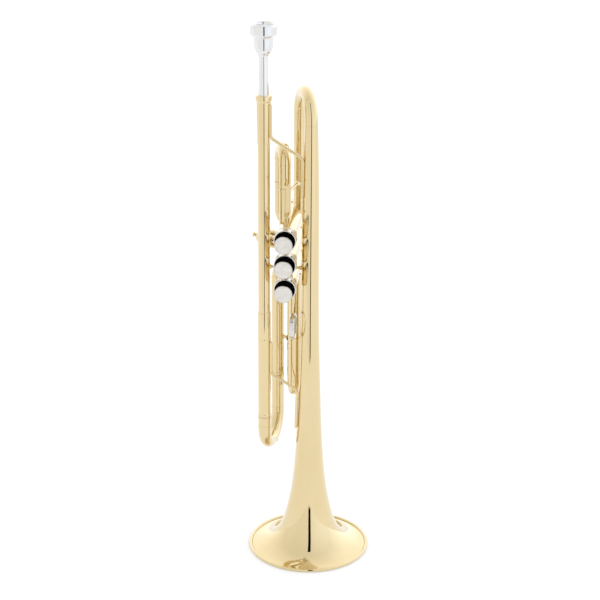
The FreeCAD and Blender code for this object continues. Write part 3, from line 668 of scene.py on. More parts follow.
@dataclass
class Bell:
    """The bell: flare, rolled rim, crook and return tube."""

    outline: tuple[tuple[float, float], ...] = (
        (56.0, 1.7), (52.5, 2.4), (46.5, 4.5), (38.0, 9.3), (31.0, 16.5), (26.2, 26.0), (22.2, 40.0), (17.5, 64.0),
        (14.8, 88.0), (12.5, 122.0), (10.5, 177.0), (9.0, 230.0), (8.2, 330.0), (7.1, 405.0), (6.3, 434.0))
    wall: float = 0.5
    bead: float = 1.5
    crook_radius: float = 6.3
    tail_radius: float = 5.9
    sectors: int = 160

    def build(self, casings: list[bpy.types.Object]) -> None:
        """Makes the bell's pieces."""
        self._flare()
        self._rim()
        self._crook(casings)

    def _flare(self) -> None:
        """The thin wall of the flare and stem."""
        outer = flowing(list(self.outline), 190)
        inner = []
        for index, (r, z) in enumerate(outer):
            before, after = outer[max(index - 1, 0)], outer[min(index + 1, len(outer) - 1)]
            along = np.array((after[0] - before[0], after[1] - before[1]))
            along /= np.linalg.norm(along)
            inner.append((r - self.wall * along[1], z + self.wall * along[0]))
        ledge = [(57.6, 0.4), (57.6, 0.9), (56.4, 0.9), (56.25, 1.5)]
        blank = Blank().lathe(ledge + outer + inner[::-1], Vector(), Z_AXIS, sectors=self.sectors)
        blank.piece("bell_flare", LACQUER, "frame", "bell")

    def _rim(self) -> None:
        """The rolled rim, flat where the bell stands."""
        low, high = span("bell_rim")
        reach = (high.x - low.x) / 2
        centre = self.bead * 0.85
        loop = [(reach - self.bead + across, max(low.z, centre + over)) for across, over in disc(self.bead, 28)]
        bead = Blank().lathe(loop, Vector(), Z_AXIS, sectors=self.sectors)
        bead.piece("bell_bead", LACQUER, "frame", "bell_rim")

    def _crook(self, casings: list[bpy.types.Object]) -> None:
        """The bow over the top, tapering into the return tube that meets the first casing."""
        top = self.outline[-1][1]
        tail = Leg.of("bell_tail_ferrule")
        stem = Vector((0, 0, top))
        across = tail.at(top) - stem
        ring_low, ring_high = span("bell_tail_ferrule")
        path = Path.start(stem, Z_AXIS).turn(across, across.length / 2, 180, 60)
        bow_points = len(path.points)
        path.run(top - middle("casing_1").z, 6)
        taper = np.linspace(self.crook_radius, self.tail_radius, bow_points).tolist()
        radii = taper + [self.tail_radius] * (len(path.points) - bow_points)
        bow = Blank().pipe(path, radii, -self.wall, 56)
        bow.piece("bell_crook", LACQUER, "frame", "bell_bow", cutters=casings)
        collar = Blank().ring_band(tail, ring_low.z, ring_high.z, (ring_high.x - ring_low.x) / 2,
                                   self.tail_radius - SEAT)
        collar.piece("bell_crook_ring", LACQUER, "frame", "bell_tail_ferrule")


@dataclass
class Leadpipe:
    """The receiver, the leadpipe and the fixed tubes of the main slide."""

    radius: float = 5.7
    bore: float = 5.2
    slide_radius: float = 6.2
    slide_bore: float = 5.75
    elbow_radius: float = 14.0
    elbow_collar: float = 8.0

    def build(self, casings: list[bpy.types.Object]) -> None:
        """Makes the leadpipe's pieces."""
        leg = Leg.of("leadpipe")
        self._receiver(leg)
        low, high = span("leadpipe")
        tube = Path.start(leg.at(high.z), -Z_AXIS).run(high.z - low.z, 4)
        Blank().pipe(tube, self.radius, self.bore, 56).piece("lead_tube", LACQUER, "frame", "leadpipe")
        self._sleeve(leg)
        self._outer_tube("main_tube_upper", "slide_tube_upper")
        self._outer_tube("main_tube_lower", "slide_tube_lower")
        self._elbow(casings)

    def _receiver(self, leg: Leg) -> None:
        """The tapered socket with its collar."""
        low, high = span("mouthpiece_receiver")
        top, end = high.z, low.z
        outline = [(7.0, top), (7.5, top - 0.5), (7.6, top - 1.2), (7.6, top - 4.4), (7.3, top - 5.2),
                   (6.75, top - 6.0), (6.7, top - 10), (6.6, top - 20), (6.4, top - 34), (6.15, end + 1.4),
                   (5.95, end), (self.radius - 0.05, end), (self.radius - 0.05, end + 20), (4.65, end + 21),
                   (4.65, end + 24), (4.96, top)]
        blank = Blank().lathe(soften(outline, 0.35), leg.at(0), Z_AXIS, sectors=72)
        blank.piece("receiver_socket", LACQUER, "frame", "mouthpiece_receiver")

    def _sleeve(self, leg: Leg) -> None:
        """The sleeve between the leadpipe and the upper slide tube, with its lower lip."""
        low, high = span("leadpipe_ferrule")
        edge = self.slide_radius + 0.05
        outline = [(self.radius - 0.05, high.z), (self.radius + 0.3, high.z), (edge, high.z - 1.0),
                   (edge, low.z + 1.1), (edge + 0.3, low.z + 0.9), (edge + 0.3, low.z), (self.slide_bore, low.z),
                   (self.slide_bore, high.z - 8), (self.radius - 0.05, high.z - 8)]
        blank = Blank().lathe(soften(outline, 0.2), leg.at(0), Z_AXIS, sectors=64)
        blank.piece("lead_sleeve", LACQUER, "frame", "leadpipe_ferrule")

    def _outer_tube(self, name: str, node: str) -> None:
        """A fixed slide tube with the ferrule at its open end."""
        leg = Leg.of(node)
        low, high = span(node)
        lip = self.slide_radius + 0.3
        outline = [(self.slide_bore, low.z), (lip, low.z), (lip, low.z + 2.6), (self.slide_radius, low.z + 3.1),
                   (self.slide_radius, high.z), (self.slide_bore, high.z)]
        blank = Blank().lathe(soften(outline, 0.2), leg.at(0), Z_AXIS, sectors=64)
        blank.piece(name, LACQUER, "frame", node)

    def _elbow(self, casings: list[bpy.types.Object]) -> None:
        """The elbow from the main slide's far leg into the third casing."""
        leg = Leg.of("slide_tube_lower")
        foot = span("valve3_elbow")[0].z
        path = Path.start(leg.at(foot + self.elbow_collar - 1), Z_AXIS).run(1)
        path.turn(X_AXIS, self.elbow_radius, 90, 24).run(2)
        blank = Blank().pipe(path, self.radius, 5.0, 56)
        blank.ring_band(leg, foot, foot + self.elbow_collar, self.slide_radius + 0.2, 5.0)
        blank.piece("third_valve_elbow", LACQUER, "frame", "valve3_elbow", cutters=casings)


@dataclass
class Valve:
    """One valve: casing, caps, finger button and what runs inside."""

    index: int
    casing_radius: float = 9.6
    casing_bore: float = 8.4
    cap_radius: float = 10.6
    cap_rim: float = 1.3
    recess: float = 3.8
    stem: float = 2.2
    button_radius: float = 8.5
    spring_wire: float = 0.45
    spring_turns: int = 7

    def __post_init__(self) -> None:
        """Takes the valve's axis from its casing."""
        centre = middle(f"casing_{self.index}")
        self.axis_point = Vector((centre.x, 0, centre.z))
        self.body = f"valve_{self.index}"

    def cutter(self) -> bpy.types.Object:
        """A solid that fills the casing, to fit tubes to its wall."""
        low, high = span(f"casing_{self.index}")
        radius = self.casing_radius - 0.35
        outline = [(0.0, low.y), (radius, low.y), (radius, high.y), (0.0, high.y)]
        blank = Blank().lathe(outline, self.axis_point, Y_AXIS, closed=False, sectors=96)
        return blank.object(f"casing_cutter_{self.index}")

    def _turned(self, outline: Outline, ease: float, closed: bool = True, sectors: int = 72,
                knurl: Knurl | None = None) -> Blank:
        """A blank turned about the valve's axis, with eased corners."""
        return Blank().lathe(soften(outline, ease, closed), self.axis_point, Y_AXIS, closed, sectors, knurl)

    def build(self) -> None:
        """Makes the valve's pieces."""
        self._casing()
        self._top_cap()
        self._bottom_cap()
        self._button()
        self._spring()
        dress(f"piston_{self.index}", PISTON_ALLOY)

    def _casing(self) -> None:
        """The casing, with a turned bead beside each cap."""
        low, high = span(f"casing_{self.index}")
        skirt = span(f"top_cap_{self.index}")[1].y
        foot = span(f"bottom_cap_{self.index}")[0].y
        wall, bead = self.casing_radius, self.casing_radius + 0.35
        outline = [(self.casing_bore, low.y), (wall, low.y), (wall, skirt + 1.2), (bead, skirt + 1.6),
                   (bead, skirt + 2.6), (wall, skirt + 3.0), (wall, foot - 3.0), (bead, foot - 2.6),
                   (bead, foot - 1.6), (wall, foot - 1.2), (wall, high.y), (self.casing_bore, high.y)]
        self._turned(outline, 0.25).piece(f"valve_casing_{self.index}", LACQUER, "frame", f"casing_{self.index}")

    def _top_cap(self) -> None:
        """The top cap, hollowed for its felt, with a coin-edge band."""
        low, high = span(f"top_cap_{self.index}")
        y, wide = low.y, self.cap_radius
        floor, inside, bore = y + self.recess, wide - self.cap_rim, self.stem + 0.08
        band = Knurl(56, 0.22, y + 6.2, y + 9.4, wide - 0.01)
        outline = [(bore, floor), (inside, floor), (inside, y + 0.5), (inside + 0.4, y), (wide - 0.4, y),
                   (wide - 0.05, y + 0.5), (wide - 0.05, y + 5.2), (wide - 0.35, y + 5.5), (wide - 0.35, y + 5.9),
                   (wide, y + 6.2), (wide, y + 9.4), (wide - 0.3, y + 9.8), (wide - 0.3, high.y),
                   (self.casing_radius, high.y), (self.casing_radius, y + 7.0), (bore, y + 7.0)]
        cap = self._turned(outline, 0.18, sectors=224, knurl=band)
        cap.piece(f"valve_top_cap_{self.index}", NICKEL, "frame", f"top_cap_{self.index}")

    def _bottom_cap(self) -> None:
        """The bottom cap with its knob, air hole and coin-edge band."""
        low, high = span(f"bottom_cap_{self.index}")
        y, wide, end = low.y, self.cap_radius, high.y - 2.2
        band = Knurl(56, 0.22, y + 1.0, y + 4.6, wide - 0.01)
        outline = [(self.casing_radius, y), (wide - 0.3, y), (wide - 0.3, y + 0.6), (wide, y + 1.0),
                   (wide, y + 4.6), (wide - 0.35, y + 5.0), (wide - 0.35, y + 5.5), (wide - 0.05, y + 5.8),
                   (wide - 0.1, end - 1.8), (wide - 0.8, end - 0.6), (wide - 2.2, end), (4.8, end),
                   (4.2, end + 0.4), (3.9, end + 1.3), (3.5, high.y), (1.5, high.y), (1.5, end - 2.0),
                   (self.casing_bore, end - 2.0), (self.casing_bore, y + 4.0), (self.casing_radius, y + 4.0)]
        cap = self._turned(outline, 0.25, sectors=224, knurl=band)
        cap.piece(f"valve_bottom_cap_{self.index}", LACQUER, "frame", f"bottom_cap_{self.index}")

    def felt(self, blank: Blank) -> None:
        """Adds the felt of this valve's top cap to a blank."""
        low = span(f"top_cap_{self.index}")[0]
        floor = low.y + self.recess
        top = span("cap_felts")[0].y
        rim = self.cap_radius - self.cap_rim - 0.02
        outline = soften([(self.stem + 0.5, floor), (self.stem + 0.5, top), (rim, top), (rim, floor)], 0.25)
        blank.lathe(outline, self.axis_point, Y_AXIS)

    def _button(self) -> None:
        """The finger button on its stem, and the pearl set into it."""
        low, high = span(f"button_{self.index}")
        front = span(f"pearl_{self.index}")[0].y
        seat = front + 1.8
        radius = self.button_radius
        under = front + 3.0
        outline = [(0.0, seat), (radius - 0.45, seat), (radius - 0.4, front + 0.9), (radius - 0.1, front + 1.0),
                   (radius, front + 1.5), (radius - 0.4, under - 0.4), (radius - 1.6, under), (2.5, under),
                   (self.stem, under + 0.3), (self.stem, high.y), (0.0, high.y)]
        self._turned(outline, 0.22, False).piece(f"finger_button_{self.index}", NICKEL, self.body,
                                                 f"button_{self.index}")
        face = radius - 0.45
        dish = [(0.0, front + 0.4), (2.5, front + 0.34), (4.8, front + 0.18), (6.2, front + 0.02),
                (face - 0.6, front + 0.12), (face - 0.15, front + 0.5), (face, front + 1.0), (face, seat),
                (0.0, seat)]
        self._turned(dish, 0.3, False).piece(f"finger_pearl_{self.index}", PEARL, self.body, f"pearl_{self.index}")

    def _spring(self) -> None:
        """The coil spring, made at rest on the frame."""
        low, high = span(f"valve_spring_{self.index}")
        wire = self.spring_wire
        length, radius = high.y - low.y - 2 * wire, (high.x - low.x) / 2 - wire
        path = Path.coil(self.axis_point + Y_AXIS * (low.y + wire), Y_AXIS * length, X_AXIS * radius,
                         Z_AXIS * radius, self.spring_turns, 24)
        coil = Blank().sweep(path, disc(wire, 10)).piece(
            f"valve_coil_{self.index}", SPRING_STEEL, "frame", f"valve_spring_{self.index}")
        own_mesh(coil)


def dress(node: str, finish: Finish) -> None:
    """Gives a kept CAD node a finish."""
    for slot in frame["nodes"][node].material_slots:
        slot.material = finish.material()
    LOG.info("%s kept, %s", node, finish.name)


@dataclass
class ValveBlock:
    """The three valves, their felts, guides and the knuckles between them."""

    knuckle_radius: float = 5.8
    knuckle_bore: float = 5.0
    knuckle_length: float = 12.0
    valves: list[Valve] = field(default_factory=lambda: [Valve(index) for index in (1, 2, 3)])

    def cutters(self) -> list[bpy.types.Object]:
        """Solids that fill the three casings."""
        return [valve.cutter() for valve in self.valves]

    def build(self, casings: list[bpy.types.Object]) -> None:
        """Makes the block's pieces."""
        for valve in self.valves:
            valve.build()
        felts = Blank()
        for valve in self.valves:
            valve.felt(felts)
        felts.piece("valve_cap_felts", BLACK_FELT, "frame", "cap_felts")
        low, high = span("valve_knuckles")
        upper = Leg(middle("valve_knuckles").x, high.y - self.knuckle_radius)
        lower = Leg(upper.x, low.y + self.knuckle_radius)
        knuckles = Blank()
        for leg, above, below in ((upper, 0, 1), (lower, 1, 2)):
            centre = (self.valves[above].axis_point.z + self.valves[below].axis_point.z) / 2
            path = Path.start(leg.at(centre - self.knuckle_length / 2), Z_AXIS).run(self.knuckle_length, 2)
            knuckles.pipe(path, self.knuckle_radius, self.knuckle_bore)
        knuckles.piece("valve_knuckle_tubes", LACQUER, "frame", "valve_knuckles", cutters=casings)
        dress("valve_guides", GUIDE_NYLON)


@dataclass
class WaterKey:
    """A water key under a slide's bow: lever, cork, hinge and spring."""

    name: str
    slide: str
    near: Leg
    far: Leg
    spring_z: float
    outer: float
    leg_radius: float = 5.7
    tilt: float = 25.0

    def __post_init__(self) -> None:
        """Works out the hinge point and the direction that the drain faces."""
        self.pivot = Vector((self.far.x, self.far.y + self.leg_radius + 4.2, self.spring_z - 6))
        self.centre = (self.near.at(self.spring_z) + self.far.at(self.spring_z)) / 2
        across = self.far.at(0) - self.near.at(0)
        lean = math.radians(self.tilt)
        self.face = (-Z_AXIS * math.cos(lean) + across.normalized() * math.sin(lean)).normalized()
        self.reach = across.length / 2 + self.outer

    def build(self) -> None:
        """Makes the key's pieces."""
        self._drain()
        self._lever()
        self._cork()
        self._spring()

    def _drain(self) -> None:
        """The nipple on the bow, and the lugs and pin on the leg."""
        blank = Blank()
        outline = soften([(1.5, self.reach - 0.3), (3.0, self.reach - 0.3), (2.6, self.reach + 0.7),
                          (2.6, self.reach + 1.8), (1.5, self.reach + 1.8)], 0.2)
        blank.lathe(outline, self.centre, self.face, sectors=36)
        for side in (-1, 1):
            low = Vector((self.pivot.x + side * 3.0 - 0.6, self.far.y + self.outer * 0.72, self.pivot.z - 2.2))
            blank.block(low, Vector((low.x + 1.2, self.pivot.y + 1.8, low.z + 4.4)), 0.4)
        pin = soften([(0.0, -3.9), (0.9, -3.9), (0.9, 3.9), (0.0, 3.9)], 0.25, False)
        blank.lathe(pin, self.pivot, X_AXIS, closed=False, sectors=24)
        blank.piece(f"{self.name}_key_saddle", LACQUER, self.slide)

    def _lever(self) -> None:
        """The key: hinge sleeve, arm, pad cup and thumb paddle."""
        cup = self.centre + self.face * (self.reach + 4.6)
        out = (Vector((0, self.pivot.y, self.pivot.z)) - Vector((0, self.centre.y, self.centre.z))).normalized()
        corner = self.centre + (self.face + out).normalized() * (self.reach + 8.5)
        blank = Blank().rod([self.pivot, corner, cup + self.face * 2.0], 1.45, 4)
        blank.lathe(soften([(0.0, 0.0), (3.0, 0.0), (3.2, 0.4), (3.0, 1.1), (1.8, 1.6), (0.0, 1.8)], 0.3, False),
                    cup, self.face, closed=False, sectors=36)
        heel, toe = self.pivot + Vector((0, 1.6, 8)), self.pivot + Vector((0, 3.0, 24))
        blank.rod([self.pivot, heel, toe], 1.4, 4)
        sleeve = soften([(0.95, -2.2), (2.3, -2.2), (2.3, 2.2), (0.95, 2.2)], 0.3)
        blank.lathe(sleeve, self.pivot, X_AXIS, sectors=32)
        paddle, scales = Path.start(self.pivot + Vector((0, 2.7, 16)), Z_AXIS), []
        paddle.run(14, 16)
        for share in paddle.lengths():
            width = max(0.12, 1 - abs(2 * share - 1) ** 3) ** 0.5
            scales.append((width, 0.6 + 0.4 * width))
        blank.sweep(paddle, rounded_bar(8.0, 1.4, 0.55), X_AXIS, scales)
        blank.piece(f"{self.name}_key_lever", LACQUER, f"{self.name}_key", f"{self.name}_water_key")

    def _cork(self) -> None:
        """The cork in the pad cup."""
        low, high = self.reach + 1.9, self.reach + 4.7
        outline = soften([(0.0, low), (2.7, low), (2.8, high), (0.0, high)], 0.3, False)
        blank = Blank().lathe(outline, self.centre, self.face, closed=False, sectors=36)
        blank.piece(f"{self.name}_key_pad", KEY_CORK, f"{self.name}_key", f"{self.name}_key_cork")

    def _spring(self) -> None:
        """The wire spring wound on the hinge."""
        half, radius = X_AXIS * 1.9, 2.6
        path = Path.coil(self.pivot - half, half * 2, -Y_AXIS * radius, Z_AXIS * radius, 4, 18)
        blank = Blank().sweep(path, disc(0.28, 8))
        blank.piece(f"{self.name}_key_spring", SPRING_STEEL, self.slide)


@dataclass
class SlideLegs:
    """A moving slide of two upright legs joined by a bow."""

    near: Leg
    far: Leg
    near_end: float
    far_end: float
    spring_z: float
    radius: float
    bore: float
    collar: float = 0.3
    collar_height: float = 2.5

    def crook(self) -> Blank:
        """The legs and the bow, with a collar at each joint."""
        rising = self.spring_z > self.near_end
        way = Z_AXIS if rising else -Z_AXIS
        across = self.far.at(0) - self.near.at(0)
        path = Path.start(self.near.at(self.near_end), way)
        path.run(abs(self.spring_z - self.near_end), 3).turn(across, across.length / 2, 180, 48)
        path.run(abs(self.spring_z - self.far_end), 3)
        blank = Blank().pipe(path, self.radius, self.bore, 56)
        grow = self.radius + self.collar
        for leg, end in ((self.near, self.near_end), (self.far, self.far_end)):
            low = self.spring_z if rising else end
            blank.ring_band(leg, low - self.collar_height, low, grow, self.radius - SEAT)
            if not rising:
                blank.ring_band(leg, self.spring_z, self.spring_z + self.collar_height, grow, self.radius - SEAT)
        return blank


@dataclass
class TuningSlide:
    """The main tuning slide."""

    radius: float = 6.2
    bore: float = 5.2
    stocking: float = 5.7
    spring_z: float = 126.0

    def build(self) -> None:
        """Makes the slide's pieces."""
        near, far = Leg.of("slide_tube_upper"), Leg.of("slide_tube_lower")
        near_end = span("slide_tube_upper")[0].z - SLIDE_GAP
        far_end = span("slide_tube_lower")[0].z - SLIDE_GAP
        legs = SlideLegs(near, far, near_end, far_end, self.spring_z, self.radius, self.bore)
        legs.crook().piece("tuning_crook", LACQUER, "tuning_slide", "tuning_bow")
        high = span("tuning_inner_tubes")[1].z
        stockings(("tuning_inner_tubes", "tuning_slide"), ((near, near_end), (far, far_end)), high - far_end,
                  self.stocking)
        WaterKey("tuning", "tuning_slide", near, far, self.spring_z, self.radius).build()


def stockings(node_body: tuple[str, str], legs: tuple[tuple[Leg, float], ...], length: float,
              radius: float = LEG_STOCKING) -> None:
    """Makes the pair of inner tubes of a slide.

    Args:
        node_body: The CAD node they stand for, and the body that carries them.
        legs: Each leg with the height where its tube starts.
        length: How far each tube reaches, downwards when negative.
        radius: The outer radius.
    """
    blank = Blank()
    for leg, start in legs:
        path = Path.start(leg.at(start), Z_AXIS if length > 0 else -Z_AXIS).run(abs(length), 2)
        blank.pipe(path, radius, radius - STOCKING_WALL)
    blank.piece(node_body[0].replace("inner_tubes", "stockings"), DRAWN_NICKEL, node_body[1], node_body[0])


@dataclass
class FirstSlide:
    """The first valve's slide with its thumb saddle."""

    radius: float = 5.7
    bore: float = 5.25
    ferrule: float = 0.3
    elbow: float = 11.0
    saddle_wall: float = 1.4
    saddle_corner: float = 5.0
    saddle_width: float = 4.6
    saddle_lip: float = 0.7

    def build(self, casings: list[bpy.types.Object]) -> None:
        """Makes the slide's pieces."""
        near = Leg.of("slide1_tube_near")
        far = Leg(span("slide1_tube_far")[0].x + self.radius + self.ferrule, middle("slide1_tube_far").y)
        split = span("slide1_tube_near")[1].z
        valve_z = middle("casing_1").z
        path = Path.start(near.at(split), -Z_AXIS).run(split - valve_z, 4)
        fixed = Blank().pipe(path, self.radius, self.bore, 56)
        fixed.ring_band(near, split - 2.5, split, self.radius + self.ferrule, self.radius - SEAT)
        fixed.piece("first_slide_near_tube", LACQUER, "frame", "slide1_tube_near", cutters=casings)
        path = Path.start(far.at(split), -Z_AXIS).run(split - valve_z - self.elbow, 3)
        path.turn(X_AXIS, self.elbow, 90, 24).run(1)
        fixed = Blank().pipe(path, self.radius, self.bore, 56)
        fixed.ring_band(far, split - 2.5, split, self.radius + self.ferrule, self.radius - SEAT)
        fixed.piece("first_slide_far_tube", LACQUER, "frame", "slide1_tube_far", cutters=casings)
        top = span("slide1_bow")[1].z
        spring_z = top - self.radius - (far.at(0) - near.at(0)).length / 2
        start = split + SLIDE_GAP
        legs = SlideLegs(near, far, start, start, spring_z, self.radius, self.bore)
        legs.crook().piece("first_slide_crook", LACQUER, "first_slide", "slide1_bow")
        low = span("slide1_inner_tubes")[0].z
        stockings(("slide1_inner_tubes", "first_slide"), ((near, start), (far, start)), low - start)
        self._thumb_saddle(near, split)

    def _thumb_saddle(self, near: Leg, split: float) -> None:
        """The U-shaped saddle for the thumb, open to the front, with its foot on the tube."""
        low, high = span("thumb_saddle")
        half = self.saddle_wall / 2
        back = near.y - self.radius - 0.8
        x = high.x - self.saddle_width / 2 - 0.4
        corner = self.saddle_corner - half
        arm = back - low.y - corner - half - self.saddle_lip
        path = Path.start(Vector((x, low.y, low.z + half)), Y_AXIS).run(self.saddle_lip)
        path.run(arm, 3).turn(Z_AXIS, corner, 90, 10)
        path.run(high.z - low.z - 2 * half - 2 * corner, 4).turn(-Y_AXIS, corner, 90, 10)
        path.run(arm, 3).run(self.saddle_lip)
        ends = [(0.82, 0.7)] + [(1.0, 1.0)] * (len(path.points) - 2) + [(0.82, 0.7)]
        blank = Blank().sweep(path, rounded_bar(self.saddle_width, self.saddle_wall, 0.5), X_AXIS, ends)
        foot = Vector((near.x - 0.4, back - 0.5, split + 1.2))
        blank.block(foot, foot + Vector((3.8, 2.2, 5.2)), 0.5)
        blank.piece("first_slide_thumb_saddle", LACQUER, "first_slide", "thumb_saddle")


@dataclass
class SecondSlide:
    """The second valve's short slide, leaning up from the side of its casing."""

    radius: float = 5.7
    bore: float = 5.25
    split: float = 20.0
    spring: float = 22.2
    overlap: float = 9.6

    def build(self, casings: list[bpy.types.Object]) -> None:
        """Makes the slide's pieces."""
        out = joint_axis("second_slide_pull")
        low, high = span("slide2_tubes")
        centre = middle("casing_2")
        near = Vector((centre.x, low.y + self.radius, centre.z))
        far = Vector((centre.x, high.y - self.radius, centre.z))
        stubs = Blank()
        for foot in (near, far):
            stubs.pipe(Path.start(foot, out).run(self.split, 3), self.radius, self.bore, 56)
        stubs.piece("second_slide_stubs", LACQUER, "frame", "slide2_tubes", cutters=casings)
        start = self.split + SLIDE_GAP
        path = Path.start(near + out * start, out).run(self.spring - start)
        path.turn(Y_AXIS, (far.y - near.y) / 2, 180, 40).run(self.spring - start)
        crook = Blank().pipe(path, self.radius, self.bore, 56)
        for foot in (near, far):
            grow, seat = self.radius + 0.3, self.radius - SEAT
            outline = soften([(seat, start), (grow, start), (grow, start + 1.9), (seat, start + 1.9)], 0.25)
            crook.lathe(outline, foot, out)
        crook.piece("second_slide_crook", LACQUER, "second_slide", "slide2_bow")
        inner = Blank()
        for foot in (near, far):
            path = Path.start(foot + out * (start - self.overlap), out).run(self.overlap, 2)
            inner.pipe(path, LEG_STOCKING, LEG_STOCKING - STOCKING_WALL)
        inner.piece("slide2_stockings", DRAWN_NICKEL, "second_slide", "slide2_inner_tubes")
        reach = self.spring + (far.y - near.y) / 2 + self.radius
        profile = ((0.0, -0.3), (1.9, -0.3), (1.4, 0.3), (1.35, 0.7), (2.2, 1.1), (2.6, 1.7), (2.5, 2.2),
                   (1.7, 2.65), (0.0, 2.8))
        outline = [(radius, reach + height) for radius, height in profile]
        knob = Blank().lathe(soften(outline, 0.2, False), (near + far) / 2, out, closed=False, sectors=36)
        knob.piece("second_slide_pull_knob", LACQUER, "second_slide", "slide2_knob")


@dataclass
class ThirdSlide:
    """The third valve's slide with its finger ring."""

    radius: float = 5.7
    bore: float = 5.25
    ferrule: float = 0.35
    ferrule_height: float = 4.5
    band: float = 0.25
    band_low: float = 244.0
    band_height: float = 2.0
    ring_width: float = 5.0
    ring_wall: float = 1.8
    spring_z: float = 170.0

    def build(self, casings: list[bpy.types.Object]) -> None:
        """Makes the slide's pieces."""
        legs: list[tuple[Leg, float]] = []
        for place in ("near", "far"):
            node = f"slide3_tube_{place}"
            leg, end = Leg.of(node), span(node)[0].z
            legs.append((leg, end - SLIDE_GAP))
            path = Path.start(leg.at(end), Z_AXIS).run(middle("casing_3").z - end, 4)
            fixed = Blank().pipe(path, self.radius, self.bore, 56)
            for low, height, grow in ((end, self.ferrule_height, self.ferrule),
                                      (self.band_low, self.band_height, self.band)):
                fixed.ring_band(leg, low, low + height, self.radius + grow, self.radius - SEAT)
            fixed.piece(f"third_slide_{place}_tube", LACQUER, "frame", node, cutters=casings)
        (near, near_end), (far, far_end) = legs
        crook = SlideLegs(near, far, near_end, far_end, self.spring_z, self.radius, self.bore)
        crook.crook().piece("third_slide_crook", LACQUER, "third_slide", "slide3_bow")
        high = span("slide3_inner_tubes")[1].z
        stockings(("slide3_inner_tubes", "third_slide"), legs, high - near_end)
        WaterKey("slide3", "third_slide", near, far, self.spring_z, self.radius).build()
        self._finger_ring(near)

    def _finger_ring(self, near: Leg) -> None:
        """The finger ring, rounded for comfort, on a saddle plate."""
        low, high = span("finger_ring")
        outer = (high.z - low.z) / 2
        centre = Vector((near.x, low.y + outer, (low.z + high.z) / 2))
        half = self.ring_width / 2
        inner = outer - self.ring_wall
        outline = [(inner, -half + 0.9), (inner + 0.5, -half), (outer - 0.5, -half), (outer, -half + 0.8),
                   (outer, half - 0.8), (outer - 0.5, half), (inner + 0.5, half), (inner, half - 0.9)]
        blank = Blank().lathe(soften(outline, 0.5), centre, X_AXIS, sectors=96)
        plate = Vector((centre.x - half, near.y - self.radius - 0.9, centre.z - 8))
        blank.block(plate, plate + Vector((self.ring_width, 1.3, 16)), 0.4)
        blank.piece("third_slide_finger_ring", NICKEL, "frame", "finger_ring")


@dataclass
class Stays:
    """The bent stays and turned posts that tie the tubes together."""

    rod: float = 1.5
    bend: float = 8.0

    def build(self) -> None:
        """Makes the stays."""
        self._bent_stay("upper_stay", "upper_brace",
                        ((-37.3, -3.6), (-6.9, -4.8), (-7.6, -5.3)), (421.5, 403.0))
        self._bent_stay("lower_stay", "lower_brace",
                        ((-37.2, -3.3), (-11.4, -5.26), (-12.5, -5.76)), (185.0, 170.0))
        self._casing_stay()
        self._post("crook_post", "tail_post", Leg.of("slide1_tube_near"), 5.7, Leg.of("bell_tail_ferrule"), 5.9,
                   (1.6, 3.0))
        self._post("leg_post_turned", "leg_post", Leg.of("slide_tube_lower"), 6.2, Leg.of("slide3_tube_far"), 5.7,
                   (1.5, 3.6))

    def _bent_stay(self, name: str, node: str, places: Outline, bends: tuple[float, float]) -> None:
        """A bent stay whose feet lie along two tubes.

        Args:
            name: The piece's name.
            node: The CAD node it stands for.
            places: Where it passes as (x, y): along the first tube, at the second bend and at its lower end.
            bends: The heights of its two bends.
        """
        low, high = span(node)
        (x, y), second, end = places
        corners = [Vector((x, y, high.z)), Vector((x, y, bends[0])), Vector((*second, bends[1])),
                   Vector((*end, low.z))]
        Blank().rod(corners, self.rod, self.bend).piece(name, LACQUER, "frame", node)

    def _casing_stay(self) -> None:
        """The stay from the leadpipe through the valley between two casings to the bell."""
        low, high = span("valve_cross_stay")
        valve_x = middle("casing_2").x
        length = high.x - low.x + 0.3
        base = Vector((low.x, 0, (low.z + high.z) / 2))
        left, right = valve_x - low.x - 7, valve_x - low.x + 7
        outline = [(0.0, 0.0), (2.6, 0.0), (2.4, 0.9), (1.7, 1.8), (1.4, 3.2), (1.4, left - 1), (2.3, left),
                   (2.3, right), (1.4, right + 1), (1.4, length - 3.2), (1.7, length - 1.8), (2.4, length - 0.9),
                   (2.6, length), (0.0, length)]
        blank = Blank().lathe(soften(outline, 0.4, False), base, X_AXIS, closed=False, sectors=40)
        blank.piece("casing_stay", LACQUER, "frame", "valve_cross_stay")

    def _post(self, name: str, node: str, first: Leg, first_radius: float, second: Leg, second_radius: float,
              thickness: tuple[float, float]) -> None:
        """A turned post between two upright tubes."""
        z = middle(node).z
        toward = (second.at(z) - first.at(z)).normalized()
        start = first.at(z) + toward * (first_radius - 0.35)
        length = (second.at(z) - toward * (second_radius - 0.35) - start).length
        outline = soften(waisted(length, *thickness), 0.3, False)
        blank = Blank().lathe(outline, start, toward, closed=False, sectors=40)
        blank.piece(name, LACQUER, "frame", node)


